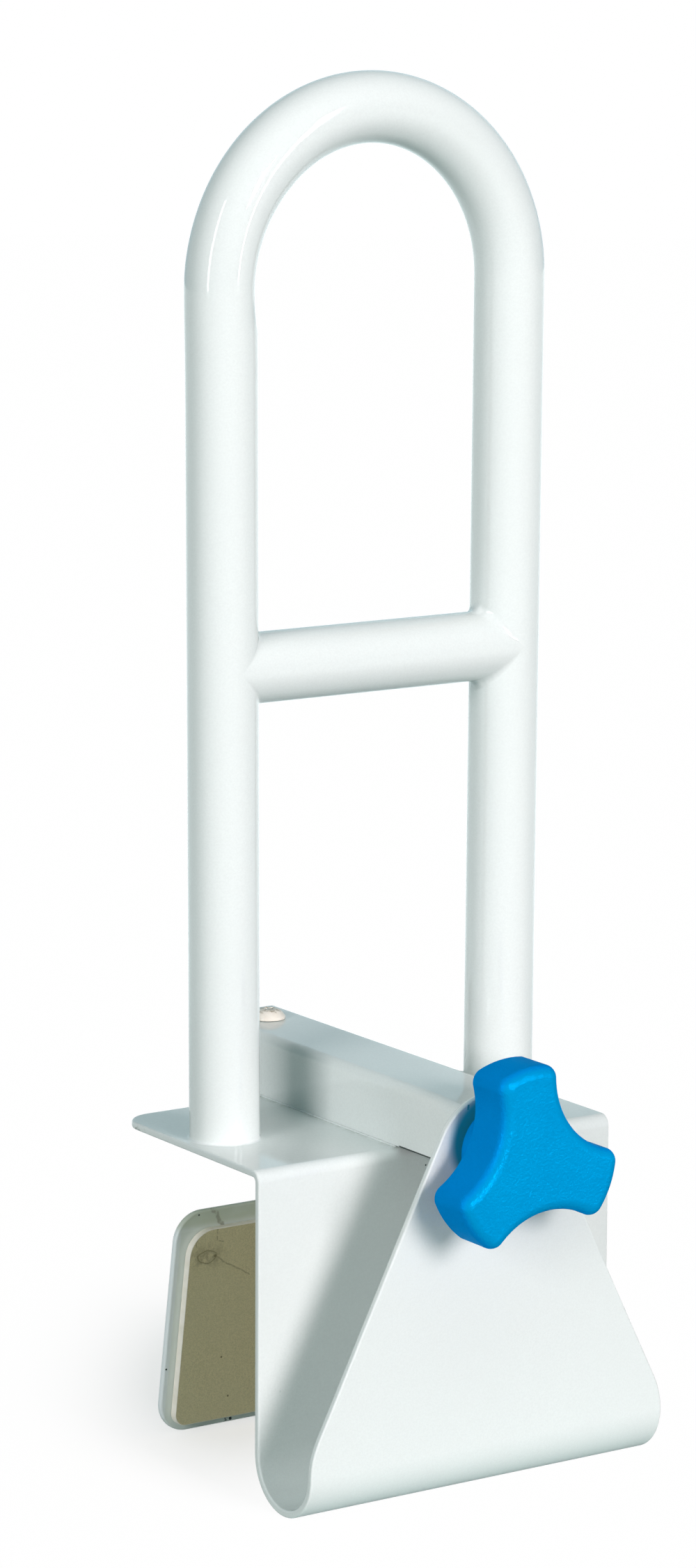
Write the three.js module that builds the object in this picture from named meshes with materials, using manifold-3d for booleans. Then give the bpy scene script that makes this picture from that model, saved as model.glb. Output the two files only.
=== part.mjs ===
// Bathtub safety rail. A bent tube loop stands on a folded steel clamp. A hand knob turns a lead screw in a
// guide channel, and the screw draws a padded jaw towards the clamp, with the wall of the tub between them.
// Millimetres. +X runs across the rail, +Y from the knob to the jaw, +Z up.
// The origin is on the centre plane, below the loop's legs, where the rim pad rests on the rim of the tub.
import * as THREE from 'three';
import { mergeVertices } from 'three/addons/utils/BufferGeometryUtils.js';
import Module from 'manifold-3d';

const wasm = await Module();
wasm.setup();

// Clearances and facets
const seatGap = 0.3; // between pieces that touch
const runGap = 0.3; // between pieces that slide or turn
const cutOverrun = 4; // how far a cutter passes the face that it cuts
const fineFacet = Math.PI / 20; // largest turn between two facets of a wide arc
const coarseFacet = Math.PI / 8; // the same on small corners
const tubeSides = 28;
const turnedSides = 28;
const smallTurnedSides = 20;
const domeSteps = 5;

// Tube of the loop and the rung
const tubeDiameter = 25.4;
const tubeWall = 1.6;
const loopInset = 2; // from the bracket's side to the loop's widest place
const loopHeight = 378.5; // from the top plate to the top of the loop
const legSplay = THREE.MathUtils.degToRad(0.29); // each leg leans out by this
const loopArcSteps = 30;
const rungHeight = 169.6; // from the top plate to the rung's centre line
const footWeldRadius = 1.2; // bead round each leg's foot
const rungWeldRadius = 1.6; // bead round each end of the rung
const weldSpreadShare = 0.25; // of the bead's radius, that the bead at a foot stands out
const weldSides = 8;

// Folded bracket
const sheet = 2.65;
const bracketWidth = 152.4;
const plateRear = 45.3; // from the legs to the top plate's rear edge
const plateCornerRadius = 12;
const wallFront = 48.05; // from the legs to the front of the vertical plate
const topBendRadius = 1.55; // inside the bend
const foldRadius = 15.72; // inside the fold
const clampDrop = 121.15; // from the top of the plate to the lowest point
const taperRise = 6.5; // from the fold's centre to where the flange starts to narrow
const taperCornerRadius = 30;
const flangeTopRadius = 24.1;
const flangeTopRise = 2.4; // from the channel's top to the flange's top

// Guide channel
const channelWidth = 31.75;
const channelHeight = 23.4;
const channelWall = 2;
const channelCornerRadius = 3.6;
const channelRear = 82; // from the legs to the channel's rear end

// Lead screw and what turns with it
const screwHeight = 6.06; // from the top plate to the screw's axis
const screwDiameter = 10;
const screwRear = 50; // from the legs to the screw's rear end
const screwChamfer = 1.2;
const bushFlangeRadius = 11;
const bushFlangeThickness = 2;
const bushWall = 1.2;
const bushOverhang = 0.6; // sleeve past the flange's rear face
const collarRadius = 8;
const collarLength = 6;
const collarPinDiameter = 2.6;

// Knob
const knobLobes = 3;
const knobRadius = 34.6;
const knobLobeHalfWidth = 12.3;
const knobWaistRadius = 18.65;
const knobTipCornerRadius = 4.9;
const knobThickness = 19.4;
const knobEdgeRadius = 4.2; // round the face
const knobEdgeSteps = 4;
const knobBackEdgeRadius = 1.4;
const knobBackEdgeSteps = 2;
const knobTurn = THREE.MathUtils.degToRad(-21.9); // how far the first lobe is turned from +X
const knobBossRadius = 16;
const knobBossLength = 6.6;
const knobFaceWall = 5;
const knobPocketWall = 4.4;
const knobPocketDepth = 12.5;
const insertWall = 2.4;

// Inner slide, travel nut and guide screw
const slideWall = 2;
const slideFront = 31; // from the legs, towards the knob
const slideRear = 86;
const slideCornerRadius = 2.6;
const slideRiseShare = 0.25; // of the running gap, between the plate and the slide's edges
const travelNutLength = 13;
const travelIn = 12.7; // how far the jaw closes from where the photo has it
const travelOut = 62.7; // how far it opens
const glidePadThickness = 1.2;
const glidePadLength = 30;
const guideScrewPlace = 64; // from the legs to the guide screw
const guideScrewDiameter = 5;
const guideHeadRadius = 6.25;
const guideHeadHeight = 3.6;
const guideNutFlats = 8;
const guideNutHeight = 3.6;
const endCapFace = 2.4;
const endCapPlug = 3.4;

// Jaw
const jawFront = 38.6; // from the legs to the jaw plate's front face
const jawTopDrop = 38.2; // from the top plate to the jaw plate's top edge
const jawBottomHalfWidth = 64.6;
const jawTopHalfWidth = 55.8;
const jawTopCornerRadius = 12;
const jawBottomCornerRadius = 11;
const padThickness = 3.2;
const jawPadSideBorder = 4.5;
const jawPadTopBorder = 6.6;
const jawPadBottomBorder = 3;
const jawPadTopCornerRadius = 11;
const jawPadBottomCornerRadius = 4.5;
const padCornerRadius = 6; // of the two pads on the bracket
const armSheet = 3;
const armWidth = 27;
const armBendRadius = 2; // inside the bend
const armDrop = 92; // from the top plate to the arm's lower end
const armRear = 80; // from the legs to the end of the arm's top strip
const armEndRadius = 8;
const gussetLegShare = 0.72; // of the arm's leg
const gussetStripShare = 0.86; // of the arm's top strip
const gussetLandRadius = 3;
const rivetDiameter = 6;
const rivetHeadRadius = 5.4;
const rivetTailHeight = 2.2;
const rivetPlaceShares = [0.24, 0.8]; // down the stretch that the arm and the jaw plate share
const notchClearance = 1.6;

// Pads on the bracket
const fixedPadTopDrop = 10; // below the top plate's underside
const fixedPadSideBorder = 8;
const rimPadThickness = 2;
const rimPadSideBorder = 10;
const rimPadRear = 22; // from the legs
const rimPadFrontBorder = 8; // from the vertical plate

// Levels and places that follow
const plateTop = rimPadThickness + seatGap + sheet;
const plateUnder = plateTop - sheet;
const tubeRadius = tubeDiameter / 2;
const footLevel = plateTop + seatGap;
const loopRadius = bracketWidth / 2 - loopInset - tubeRadius;
const loopCentre = plateTop + loopHeight - tubeRadius - loopRadius;
const arcEndLevel = loopCentre - loopRadius * Math.sin(legSplay);
const arcEndX = loopRadius * Math.cos(legSplay);
const halfWidth = bracketWidth / 2;
const wallRear = wallFront - sheet;
const foldOuterRadius = foldRadius + sheet;
const lowestPoint = plateTop - clampDrop;
const foldCentre = { y: -wallFront - foldRadius, z: lowestPoint + foldOuterRadius };
const flangeRearY = -wallFront - 2 * foldRadius;
const flangeFrontY = flangeRearY - sheet;
const channelTop = plateTop + seatGap + channelHeight;
const flangeTop = channelTop + flangeTopRise;
const screwAxis = plateTop + screwHeight;
const screwRadius = screwDiameter / 2;
const boreRadius = screwRadius + runGap;
const armFront = jawFront + sheet + seatGap;
const jawTop = plateTop - jawTopDrop;

// Solids and booleans
function solid(geometry) {
  const bare = geometry.clone();
  bare.deleteAttribute('normal');
  bare.deleteAttribute('uv');
  const merged = mergeVertices(bare);
  const mesh = new wasm.Mesh({
    numProp: 3,
    vertProperties: new Float32Array(merged.attributes.position.array),
    triVerts: new Uint32Array(merged.index.array),
  });
  return new wasm.Manifold(mesh);
}

function geometryOf(manifold) {
  const mesh = manifold.getMesh();
  const geometry = new THREE.BufferGeometry();
  geometry.setAttribute('position', new THREE.BufferAttribute(mesh.vertProperties, 3));
  geometry.setIndex(new THREE.BufferAttribute(mesh.triVerts, 1));
  return geometry;
}

function cut(base, ...cutters) {
  return cutters.reduce((left, cutter) => left.subtract(solid(cutter)), base);
}

// Outlines
function arcPoints(x, y, radius, from, to, facet = coarseFacet) {
  const steps = Math.max(2, Math.ceil(Math.abs(to - from) / facet));
  return Array.from({ length: steps + 1 }, (_, i) => {
    const angle = from + ((to - from) * i) / steps;
    return new THREE.Vector2(x + radius * Math.cos(angle), y + radius * Math.sin(angle));
  });
}

// Corners are [x, y, radius], counterclockwise; each is replaced by an arc that touches both of its sides.
function roundedOutline(corners, facet = coarseFacet) {
  const points = corners.flatMap(([x, y, radius], i) => {
    const corner = new THREE.Vector2(x, y);
    if (!radius) return [corner];
    const before = corners[(i + corners.length - 1) % corners.length];
    const after = corners[(i + 1) % corners.length];
    const back = new THREE.Vector2(before[0], before[1]).sub(corner).normalize();
    const ahead = new THREE.Vector2(after[0], after[1]).sub(corner).normalize();
    const half = Math.acos(THREE.MathUtils.clamp(back.dot(ahead), -1, 1)) / 2;
    const middle = back.clone().add(ahead).normalize();
    const centre = corner.clone().addScaledVector(middle, radius / Math.sin(half));
    const start = corner.clone().addScaledVector(back, radius / Math.tan(half)).sub(centre);
    const end = corner.clone().addScaledVector(ahead, radius / Math.tan(half)).sub(centre);
    const turn = Math.atan2(start.cross(end), start.dot(end));
    return arcPoints(centre.x, centre.y, radius, start.angle(), start.angle() + turn, facet);
  });
  return new THREE.Shape(points);
}

function circleHole(shape, x, y, radius) {
  shape.holes.push(new THREE.Path(arcPoints(x, y, radius, 0, 2 * Math.PI).slice(0, -1)));
  return shape;
}

// An outline drawn in X and Z, as a plate between two places along Y
function plateAcrossY(shape, front, rear) {
  const geometry = new THREE.ExtrudeGeometry(shape, { depth: rear - front, bevelEnabled: false });
  return geometry.rotateX(Math.PI / 2).translate(0, rear, 0);
}

// An outline drawn in X and Y, as a plate between two levels
function plateAcrossZ(shape, low, high) {
  return new THREE.ExtrudeGeometry(shape, { depth: high - low, bevelEnabled: false }).translate(0, 0, low);
}

// A profile drawn in Y and Z, run across the rail between -half and +half
const profileFrame = new THREE.Matrix4().makeBasis(
  new THREE.Vector3(0, 1, 0),
  new THREE.Vector3(0, 0, 1),
  new THREE.Vector3(1, 0, 0),
);

function profileAcrossX(shape, half) {
  const geometry = new THREE.ExtrudeGeometry(shape, { depth: 2 * half, bevelEnabled: false });
  return geometry.translate(0, 0, -half).applyMatrix4(profileFrame);
}

// A profile of [radius, place along Y] turned about the lead screw's axis
function turnedOnScrew(profile, sides = turnedSides) {
  const points = profile.map(([radius, place]) => new THREE.Vector2(radius, place));
  return new THREE.LatheGeometry(points, sides).translate(0, 0, screwAxis);
}

// A profile of [radius, level] turned about an upright axis
function turnedUpright(profile, x, y, sides = turnedSides) {
  const points = profile.map(([radius, level]) => new THREE.Vector2(radius, level));
  return new THREE.LatheGeometry(points, sides).rotateX(Math.PI / 2).translate(x, y, 0);
}

function rod(radius, from, to) {
  return [[0, from], [radius, from], [radius, to], [0, to]];
}

function ring(inner, outer, from, to) {
  return [[inner, from], [outer, from], [outer, to], [inner, to], [inner, from]];
}

// Loop and rung
// The centre line: one step up the left leg, even steps round the top bend, one step down the right leg.
class LoopPath extends THREE.Curve {
  getPoint(share, target = new THREE.Vector3()) {
    const step = share * (loopArcSteps + 2);
    const lean = Math.tan(legSplay);
    const legStep = step < 1 ? 1 - step : Math.max(0, step - loopArcSteps - 1);
    if (legStep > 0) {
      const drop = legStep * (arcEndLevel - footLevel);
      const side = step < 1 ? -1 : 1;
      return target.set(side * (arcEndX - lean * drop), 0, arcEndLevel - drop);
    }
    const angle = this.angleAt(step);
    return target.set(loopRadius * Math.cos(angle), 0, loopCentre + loopRadius * Math.sin(angle));
  }

  angleAt(step) {
    const arcShare = THREE.MathUtils.clamp((step - 1) / loopArcSteps, 0, 1);
    return Math.PI + legSplay - arcShare * (Math.PI + 2 * legSplay);
  }

  getPointAt(share, target) {
    return this.getPoint(share, target);
  }

  getTangentAt(share, target = new THREE.Vector3()) {
    const angle = this.angleAt(share * (loopArcSteps + 2));
    return target.set(Math.sin(angle), 0, -Math.cos(angle));
  }
}

function legX(level) {
  return arcEndX - Math.tan(legSplay) * (arcEndLevel - level);
}

function legRod(side, radius) {
  const length = arcEndLevel - footLevel;
  const middleX = (side * (legX(footLevel) + legX(arcEndLevel))) / 2;
  const geometry = new THREE.CylinderGeometry(radius, radius, length + 2 * cutOverrun, tubeSides);
  geometry.rotateX(Math.PI / 2).rotateY(side * legSplay);
  return geometry.translate(middleX, 0, (footLevel + arcEndLevel) / 2);
}

function handleLoop() {
  const facet = (2 * Math.PI) / tubeSides;
  const [outer, inner] = [tubeRadius, tubeRadius - tubeWall].map((radius) =>
    arcPoints(0, 0, radius, 0, 2 * Math.PI, facet).slice(0, -1),
  );
  const section = new THREE.Shape(outer);
  section.holes.push(new THREE.Path(inner));
  const tube = new THREE.ExtrudeGeometry(section, {
    steps: loopArcSteps + 2,
    extrudePath: new LoopPath(),
    curveSegments: 1,
  });
  let loop = solid(tube);
  for (const side of [-1, 1]) {
    const beadPlace = tubeRadius + weldSpreadShare * footWeldRadius;
    const bead = new THREE.TorusGeometry(beadPlace, footWeldRadius, weldSides, tubeSides);
    loop = loop.add(solid(bead.translate(side * legX(footLevel), 0, footLevel)));
  }
  const underFeet = new THREE.BoxGeometry(bracketWidth, bracketWidth, cutOverrun);
  return cut(loop, underFeet.translate(0, 0, footLevel - cutOverrun / 2));
}

function crossRung() {
  const level = plateTop + rungHeight;
  const reach = legX(level);
  const profile = ring(tubeRadius - tubeWall, tubeRadius, -reach, reach);
  const points = profile.map(([radius, place]) => new THREE.Vector2(radius, place));
  let rung = solid(new THREE.LatheGeometry(points, tubeSides).rotateZ(-Math.PI / 2).translate(0, 0, level));
  for (const side of [-1, 1]) {
    const bead = new THREE.TorusGeometry(tubeRadius, rungWeldRadius, weldSides, tubeSides);
    bead.rotateY(Math.PI / 2);
    const position = bead.attributes.position;
    for (let i = 0; i < position.count; i += 1) {
      const angle = Math.atan2(position.getY(i), position.getZ(i));
      const saddle = tubeRadius * Math.abs(Math.cos(angle));
      position.setX(i, position.getX(i) + side * (reach - saddle));
    }
    rung = rung.add(solid(bead.translate(0, 0, level)));
  }
  const passage = new THREE.CylinderGeometry(
    tubeRadius - tubeWall,
    tubeRadius - tubeWall,
    2 * reach,
    tubeSides,
  );
  passage.rotateZ(Math.PI / 2).translate(0, 0, level);
  return cut(rung, passage, legRod(-1, tubeRadius + seatGap), legRod(1, tubeRadius + seatGap));
}

// Bracket
function bracketProfile() {
  const bendCentre = { y: -wallRear + topBendRadius, z: plateUnder - topBendRadius };
  const quarter = Math.PI / 2;
  return new THREE.Shape([
    new THREE.Vector2(plateRear, plateTop),
    ...arcPoints(bendCentre.y, bendCentre.z, topBendRadius + sheet, quarter, 2 * quarter),
    ...arcPoints(foldCentre.y, foldCentre.z, foldRadius, 0, -2 * quarter, fineFacet),
    new THREE.Vector2(flangeRearY, flangeTop),
    new THREE.Vector2(flangeFrontY, flangeTop),
    ...arcPoints(foldCentre.y, foldCentre.z, foldOuterRadius, -2 * quarter, 0, fineFacet),
    ...arcPoints(bendCentre.y, bendCentre.z, topBendRadius, 2 * quarter, quarter),
    new THREE.Vector2(plateRear, plateUnder),
  ]);
}

// What stays of the front flange: full width at the fold, then narrowing to a round top
function flangeOutline() {
  const taperLevel = foldCentre.z + taperRise;
  const topCentre = flangeTop - flangeTopRadius;
  const reach = Math.hypot(halfWidth, taperLevel - topCentre);
  const tangent = Math.atan2(taperLevel - topCentre, halfWidth) + Math.acos(flangeTopRadius / reach);
  const top = arcPoints(0, topCentre, flangeTopRadius, tangent, Math.PI - tangent, fineFacet);
  const low = foldCentre.z - cutOverrun;
  return roundedOutline([
    [-halfWidth - cutOverrun, low],
    [halfWidth + cutOverrun, low],
    [halfWidth + cutOverrun, taperLevel - taperRise / 2],
    [halfWidth, taperLevel - taperRise / 2],
    [halfWidth, taperLevel, taperCornerRadius],
    ...top.map((point) => [point.x, point.y]),
    [-halfWidth, taperLevel, taperCornerRadius],
    [-halfWidth, taperLevel - taperRise / 2],
    [-halfWidth - cutOverrun, taperLevel - taperRise / 2],
  ]);
}

function clampBracket() {
  const folded = solid(profileAcrossX(bracketProfile(), halfWidth));
  const high = flangeTop + cutOverrun;
  const wide = halfWidth + 2 * cutOverrun;
  const around = roundedOutline([
    [-wide, foldCentre.z],
    [wide, foldCentre.z],
    [wide, high],
    [-wide, high],
  ]);
  const [front, rear] = [flangeFrontY - cutOverrun, flangeRearY + cutOverrun];
  const flangeCutter = solid(plateAcrossY(around, front, rear)).subtract(
    solid(plateAcrossY(flangeOutline(), front - cutOverrun, rear + cutOverrun)),
  );
  const notchFront = armFront - travelIn - notchClearance;
  const notchHalf = channelWidth / 2 - channelWall + seatGap;
  const far = plateRear + cutOverrun;
  const plan = roundedOutline([
    [-halfWidth, 0],
    [halfWidth, 0],
    [halfWidth, plateRear, plateCornerRadius],
    [notchHalf, plateRear],
    [notchHalf, notchFront],
    [-notchHalf, notchFront],
    [-notchHalf, plateRear],
    [-halfWidth, plateRear, plateCornerRadius],
  ]);
  const rearHalf = roundedOutline([
    [-wide, 0],
    [wide, 0],
    [wide, far],
    [-wide, far],
  ]);
  const planCutter = solid(plateAcrossZ(rearHalf, plateUnder - cutOverrun, plateTop + cutOverrun)).subtract(
    solid(plateAcrossZ(plan, plateUnder - 2 * cutOverrun, plateTop + 2 * cutOverrun)),
  );
  const sleeveRadius = boreRadius + bushWall + seatGap;
  const screwHole = turnedOnScrew(rod(sleeveRadius, flangeFrontY - cutOverrun, flangeRearY + cutOverrun));
  return cut(folded.subtract(flangeCutter).subtract(planCutter), screwHole);
}

function fixedPad() {
  const side = halfWidth - fixedPadSideBorder;
  const rear = -wallRear + seatGap + padThickness;
  const outline = roundedOutline([
    [-side, foldCentre.z, padCornerRadius],
    [side, foldCentre.z, padCornerRadius],
    [side, plateUnder - fixedPadTopDrop, padCornerRadius],
    [-side, plateUnder - fixedPadTopDrop, padCornerRadius],
  ]);
  return solid(plateAcrossY(outline, rear - padThickness, rear));
}

function rimPad() {
  const side = halfWidth - rimPadSideBorder;
  const front = -wallFront + rimPadFrontBorder;
  const outline = roundedOutline([
    [-side, front, padCornerRadius],
    [side, front, padCornerRadius],
    [side, rimPadRear, padCornerRadius],
    [-side, rimPadRear, padCornerRadius],
  ]);
  return solid(plateAcrossZ(outline, 0, rimPadThickness));
}

// An inverted channel's section, open at the bottom
function channelSection(half, low, high, wall, cornerRadius) {
  const innerRadius = cornerRadius - wall;
  return roundedOutline([
    [-half, low],
    [-half + wall, low],
    [-half + wall, high - wall, innerRadius],
    [half - wall, high - wall, innerRadius],
    [half - wall, low],
    [half, low],
    [half, high, cornerRadius],
    [-half, high, cornerRadius],
  ]);
}

function guideChannel() {
  const low = plateTop + seatGap;
  const section = channelSection(channelWidth / 2, low, channelTop, channelWall, channelCornerRadius);
  const body = solid(plateAcrossY(section, flangeRearY + seatGap, channelRear));
  const holeRadius = guideScrewDiameter / 2 + seatGap;
  const hole = rod(holeRadius, channelTop - channelWall - cutOverrun, channelTop + cutOverrun);
  return cut(body, turnedUpright(hole, 0, guideScrewPlace));
}

// Levels inside the channel, from the top down
const glidePadTop = channelTop - channelWall - seatGap;
const slideTop = glidePadTop - glidePadThickness - runGap;
const slideLow = plateTop + seatGap + slideRiseShare * runGap;
const slideHalf = channelWidth / 2 - channelWall - runGap;
const guideNutTop = slideTop - slideWall - runGap;
const guideSlotHalf = guideScrewDiameter / 2 + runGap;

function glidePad() {
  const half = slideHalf - slideCornerRadius;
  const front = guideScrewPlace - glidePadLength / 2;
  const outline = roundedOutline([
    [-half, front],
    [half, front],
    [half, front + glidePadLength],
    [-half, front + glidePadLength],
  ]);
  circleHole(outline, 0, guideScrewPlace, guideScrewDiameter / 2 + seatGap);
  return solid(plateAcrossZ(outline, glidePadTop - glidePadThickness, glidePadTop));
}

function guideScrew() {
  const base = channelTop + seatGap;
  const shank = guideScrewDiameter / 2;
  const domeRadius = (guideHeadRadius ** 2 + guideHeadHeight ** 2) / (2 * guideHeadHeight);
  const dome = Array.from({ length: domeSteps + 1 }, (_, i) => {
    const radius = guideHeadRadius * (1 - i / domeSteps);
    const drop = domeRadius - Math.sqrt(domeRadius ** 2 - radius ** 2);
    return [radius, base + guideHeadHeight - drop];
  });
  const profile = [
    [0, guideNutTop - guideNutHeight],
    [shank, guideNutTop - guideNutHeight],
    [shank, base],
    ...dome,
  ];
  return solid(turnedUpright(profile, 0, guideScrewPlace));
}

function guideNut() {
  const low = guideNutTop - guideNutHeight;
  const cornerRadius = guideNutFlats / Math.sqrt(3);
  const hexagon = new THREE.Shape(arcPoints(0, 0, cornerRadius, 0, 2 * Math.PI, Math.PI / 3).slice(0, -1));
  circleHole(hexagon, 0, 0, guideScrewDiameter / 2 + seatGap);
  return solid(plateAcrossZ(hexagon, low, guideNutTop).translate(0, guideScrewPlace, 0));
}

// Knob and lead screw
const bushFlangeRear = flangeFrontY - seatGap;
const bossRear = bushFlangeRear - bushFlangeThickness - runGap;
const lobesRear = bossRear - knobBossLength;
const knobFace = lobesRear - knobThickness;
const knobBoreEnd = knobFace + knobFaceWall;
const screwFront = knobBoreEnd + seatGap;

// Each lobe's tip is an arc about the axis with two round corners; a hollow arc joins it to the next lobe.
// Each place on the outline comes with its outward normal.
function knobOutline() {
  const tip = knobRadius - knobTipCornerRadius;
  const spread = Math.asin((knobLobeHalfWidth - knobTipCornerRadius) / tip);
  const halfLobe = Math.PI / knobLobes;
  const centre = new THREE.Vector2(Math.cos(spread), Math.sin(spread)).multiplyScalar(tip);
  const between = new THREE.Vector2(Math.cos(halfLobe), Math.sin(halfLobe));
  const along = between.dot(centre);
  const [waist, corner] = [knobWaistRadius, knobTipCornerRadius];
  const hollow =
    (waist ** 2 - 2 * waist * along + centre.lengthSq() - corner ** 2) / (2 * (corner + along - waist));
  const hollowCentre = between.clone().multiplyScalar(waist + hollow);
  const contact = hollowCentre.clone().sub(centre).angle();
  const arcPlaces = (middle, radius, from, to, facet, side = 1) =>
    arcPoints(middle.x, middle.y, radius, from, to, facet).map((point) => ({
      point,
      normal: point.clone().sub(middle).multiplyScalar(side / radius),
    }));
  const origin = new THREE.Vector2();
  return Array.from({ length: knobLobes }, (_, lobe) => {
    const turn = 2 * lobe * halfLobe;
    const back = turn + halfLobe + Math.PI;
    const sweep = contact - halfLobe;
    const mirrored = new THREE.Vector2(centre.x, -centre.y);
    const [first, second, next] = [mirrored, centre, hollowCentre].map((vector) =>
      vector.clone().rotateAround(origin, turn),
    );
    return [
      ...arcPlaces(first, corner, turn - contact, turn - spread, coarseFacet),
      ...arcPlaces(origin, knobRadius, turn - spread, turn + spread, fineFacet).slice(1, -1),
      ...arcPlaces(second, corner, turn + spread, turn + contact, coarseFacet),
      ...arcPlaces(next, hollow, back + sweep, back - sweep, fineFacet, -1).slice(1, -1),
    ];
  }).flat();
}

function knobInset(inset) {
  return knobOutline().map(({ point, normal }) => point.clone().addScaledVector(normal, -inset));
}

// A closed skin through outlines drawn in X and Z, with equal numbers of points, from the front to the rear
function skinAcrossY(sections) {
  const count = sections[0].points.length;
  const last = (sections.length - 1) * count;
  const places = sections.flatMap(({ points, place }) => points.flatMap(({ x, y }) => [x, place, y]));
  const faces = THREE.ShapeUtils.triangulateShape(sections[0].points, []).flatMap(([a, b, c]) => [
    ...[a, b, c],
    ...[last + c, last + b, last + a],
  ]);
  for (let level = 0; level < last; level += count) {
    for (let i = 0; i < count; i += 1) {
      const here = level + i;
      const next = level + ((i + 1) % count);
      faces.push(here, next + count, next, here, here + count, next + count);
    }
  }
  const geometry = new THREE.BufferGeometry();
  geometry.setAttribute('position', new THREE.Float32BufferAttribute(places, 3));
  geometry.setIndex(faces);
  return geometry;
}

function roundSteps(count) {
  return Array.from({ length: count + 1 }, (_, i) => ((Math.PI / 2) * i) / count);
}

function knob() {
  const face = roundSteps(knobEdgeSteps).map((angle) => ({
    points: knobInset(knobEdgeRadius * (1 - Math.sin(angle))),
    place: knobFace + knobEdgeRadius * (1 - Math.cos(angle)),
  }));
  const back = roundSteps(knobBackEdgeSteps).map((angle) => ({
    points: knobInset(knobBackEdgeRadius * (1 - Math.cos(angle))),
    place: lobesRear - knobBackEdgeRadius * (1 - Math.sin(angle)),
  }));
  const lobes = skinAcrossY([...face, ...back]);
  lobes.rotateY(-knobTurn).translate(0, 0, screwAxis);
  const boss = turnedOnScrew(rod(knobBossRadius, lobesRear - knobEdgeRadius, bossRear));
  const pockets = new THREE.ExtrudeGeometry(new THREE.Shape(knobInset(knobPocketWall)), {
    depth: knobPocketDepth + cutOverrun,
    bevelEnabled: false,
  });
  pockets.rotateZ(knobTurn).rotateX(Math.PI / 2).translate(0, lobesRear + cutOverrun, screwAxis);
  const hubEnd = lobesRear + 2 * cutOverrun;
  const hub = turnedOnScrew(rod(knobBossRadius, lobesRear - 2 * knobPocketDepth, hubEnd));
  const bore = turnedOnScrew(rod(boreRadius + insertWall + seatGap, knobBoreEnd, bossRear + cutOverrun));
  return cut(solid(lobes).subtract(solid(pockets).subtract(solid(hub))).add(solid(boss)), bore);
}

function knobInsert() {
  return solid(turnedOnScrew(ring(boreRadius, boreRadius + insertWall, screwFront, bossRear)));
}

function leadScrew() {
  const profile = [
    [0, screwFront],
    [screwRadius - screwChamfer, screwFront],
    [screwRadius, screwFront + screwChamfer],
    [screwRadius, screwRear - screwChamfer],
    [screwRadius - screwChamfer, screwRear],
    [0, screwRear],
  ];
  return cut(solid(turnedOnScrew(profile)), pinRod(collarPinDiameter / 2 + seatGap));
}

const bushRear = flangeRearY + bushOverhang;
const collarFront = bushRear + runGap;

function screwBush() {
  const sleeve = boreRadius + bushWall;
  const flangeFront = bushFlangeRear - bushFlangeThickness;
  const profile = [
    [boreRadius, flangeFront],
    [bushFlangeRadius, flangeFront],
    [bushFlangeRadius, bushFlangeRear],
    [sleeve, bushFlangeRear],
    [sleeve, bushRear],
    [boreRadius, bushRear],
    [boreRadius, flangeFront],
  ];
  return solid(turnedOnScrew(profile));
}

function pinRod(radius) {
  const profile = rod(radius, screwAxis - collarRadius, screwAxis + collarRadius);
  return turnedUpright(profile, 0, collarFront + collarLength / 2);
}

function retainingCollar() {
  const body = solid(turnedOnScrew(ring(boreRadius, collarRadius, collarFront, collarFront + collarLength)));
  const radius = collarPinDiameter / 2 + seatGap;
  const through = rod(radius, screwAxis - collarRadius - cutOverrun, screwAxis + collarRadius + cutOverrun);
  return cut(body, turnedUpright(through, 0, collarFront + collarLength / 2));
}

function collarPin() {
  return solid(pinRod(collarPinDiameter / 2));
}

// Slide and jaw
function innerSlide() {
  const section = channelSection(slideHalf, slideLow, slideTop, slideWall, slideCornerRadius);
  const body = solid(plateAcrossY(section, -slideFront, slideRear));
  const slotFront = guideScrewPlace - travelOut - guideSlotHalf;
  const slotRear = guideScrewPlace + travelIn + guideSlotHalf;
  const slot = roundedOutline([
    [-guideSlotHalf, slotFront, guideSlotHalf],
    [guideSlotHalf, slotFront, guideSlotHalf],
    [guideSlotHalf, slotRear, guideSlotHalf],
    [-guideSlotHalf, slotRear, guideSlotHalf],
  ]);
  return cut(body, plateAcrossZ(slot, slideTop - slideWall - cutOverrun, slideTop + cutOverrun));
}

const insideHalf = slideHalf - slideWall - seatGap;
const insideTop = slideTop - slideWall - seatGap;
const insideCornerRadius = slideCornerRadius - slideWall + seatGap;

function travelNut() {
  const outline = roundedOutline([
    [-insideHalf, slideLow],
    [insideHalf, slideLow],
    [insideHalf, insideTop, insideCornerRadius],
    [-insideHalf, insideTop, insideCornerRadius],
  ]);
  circleHole(outline, 0, screwAxis, boreRadius);
  return solid(plateAcrossY(outline, -slideFront, -slideFront + travelNutLength));
}

function slideEndCap() {
  const cap = roundedOutline([
    [-slideHalf, slideLow],
    [slideHalf, slideLow],
    [slideHalf, slideTop, slideCornerRadius],
    [-slideHalf, slideTop, slideCornerRadius],
  ]);
  const plug = roundedOutline([
    [-insideHalf, slideLow],
    [insideHalf, slideLow],
    [insideHalf, insideTop, insideCornerRadius],
    [-insideHalf, insideTop, insideCornerRadius],
  ]);
  const face = slideRear + seatGap;
  const overlap = endCapFace / 2;
  return solid(plateAcrossY(cap, face, face + endCapFace)).add(
    solid(plateAcrossY(plug, slideRear - endCapPlug, face + overlap)),
  );
}

const armTop = slideLow - seatGap;
const armOuterRadius = armBendRadius + armSheet;
const armLow = plateTop - armDrop;
const sharedStretch = jawTop - armLow;

function rivetLevels() {
  return rivetPlaceShares.map((share) => jawTop - share * sharedStretch);
}

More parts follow.
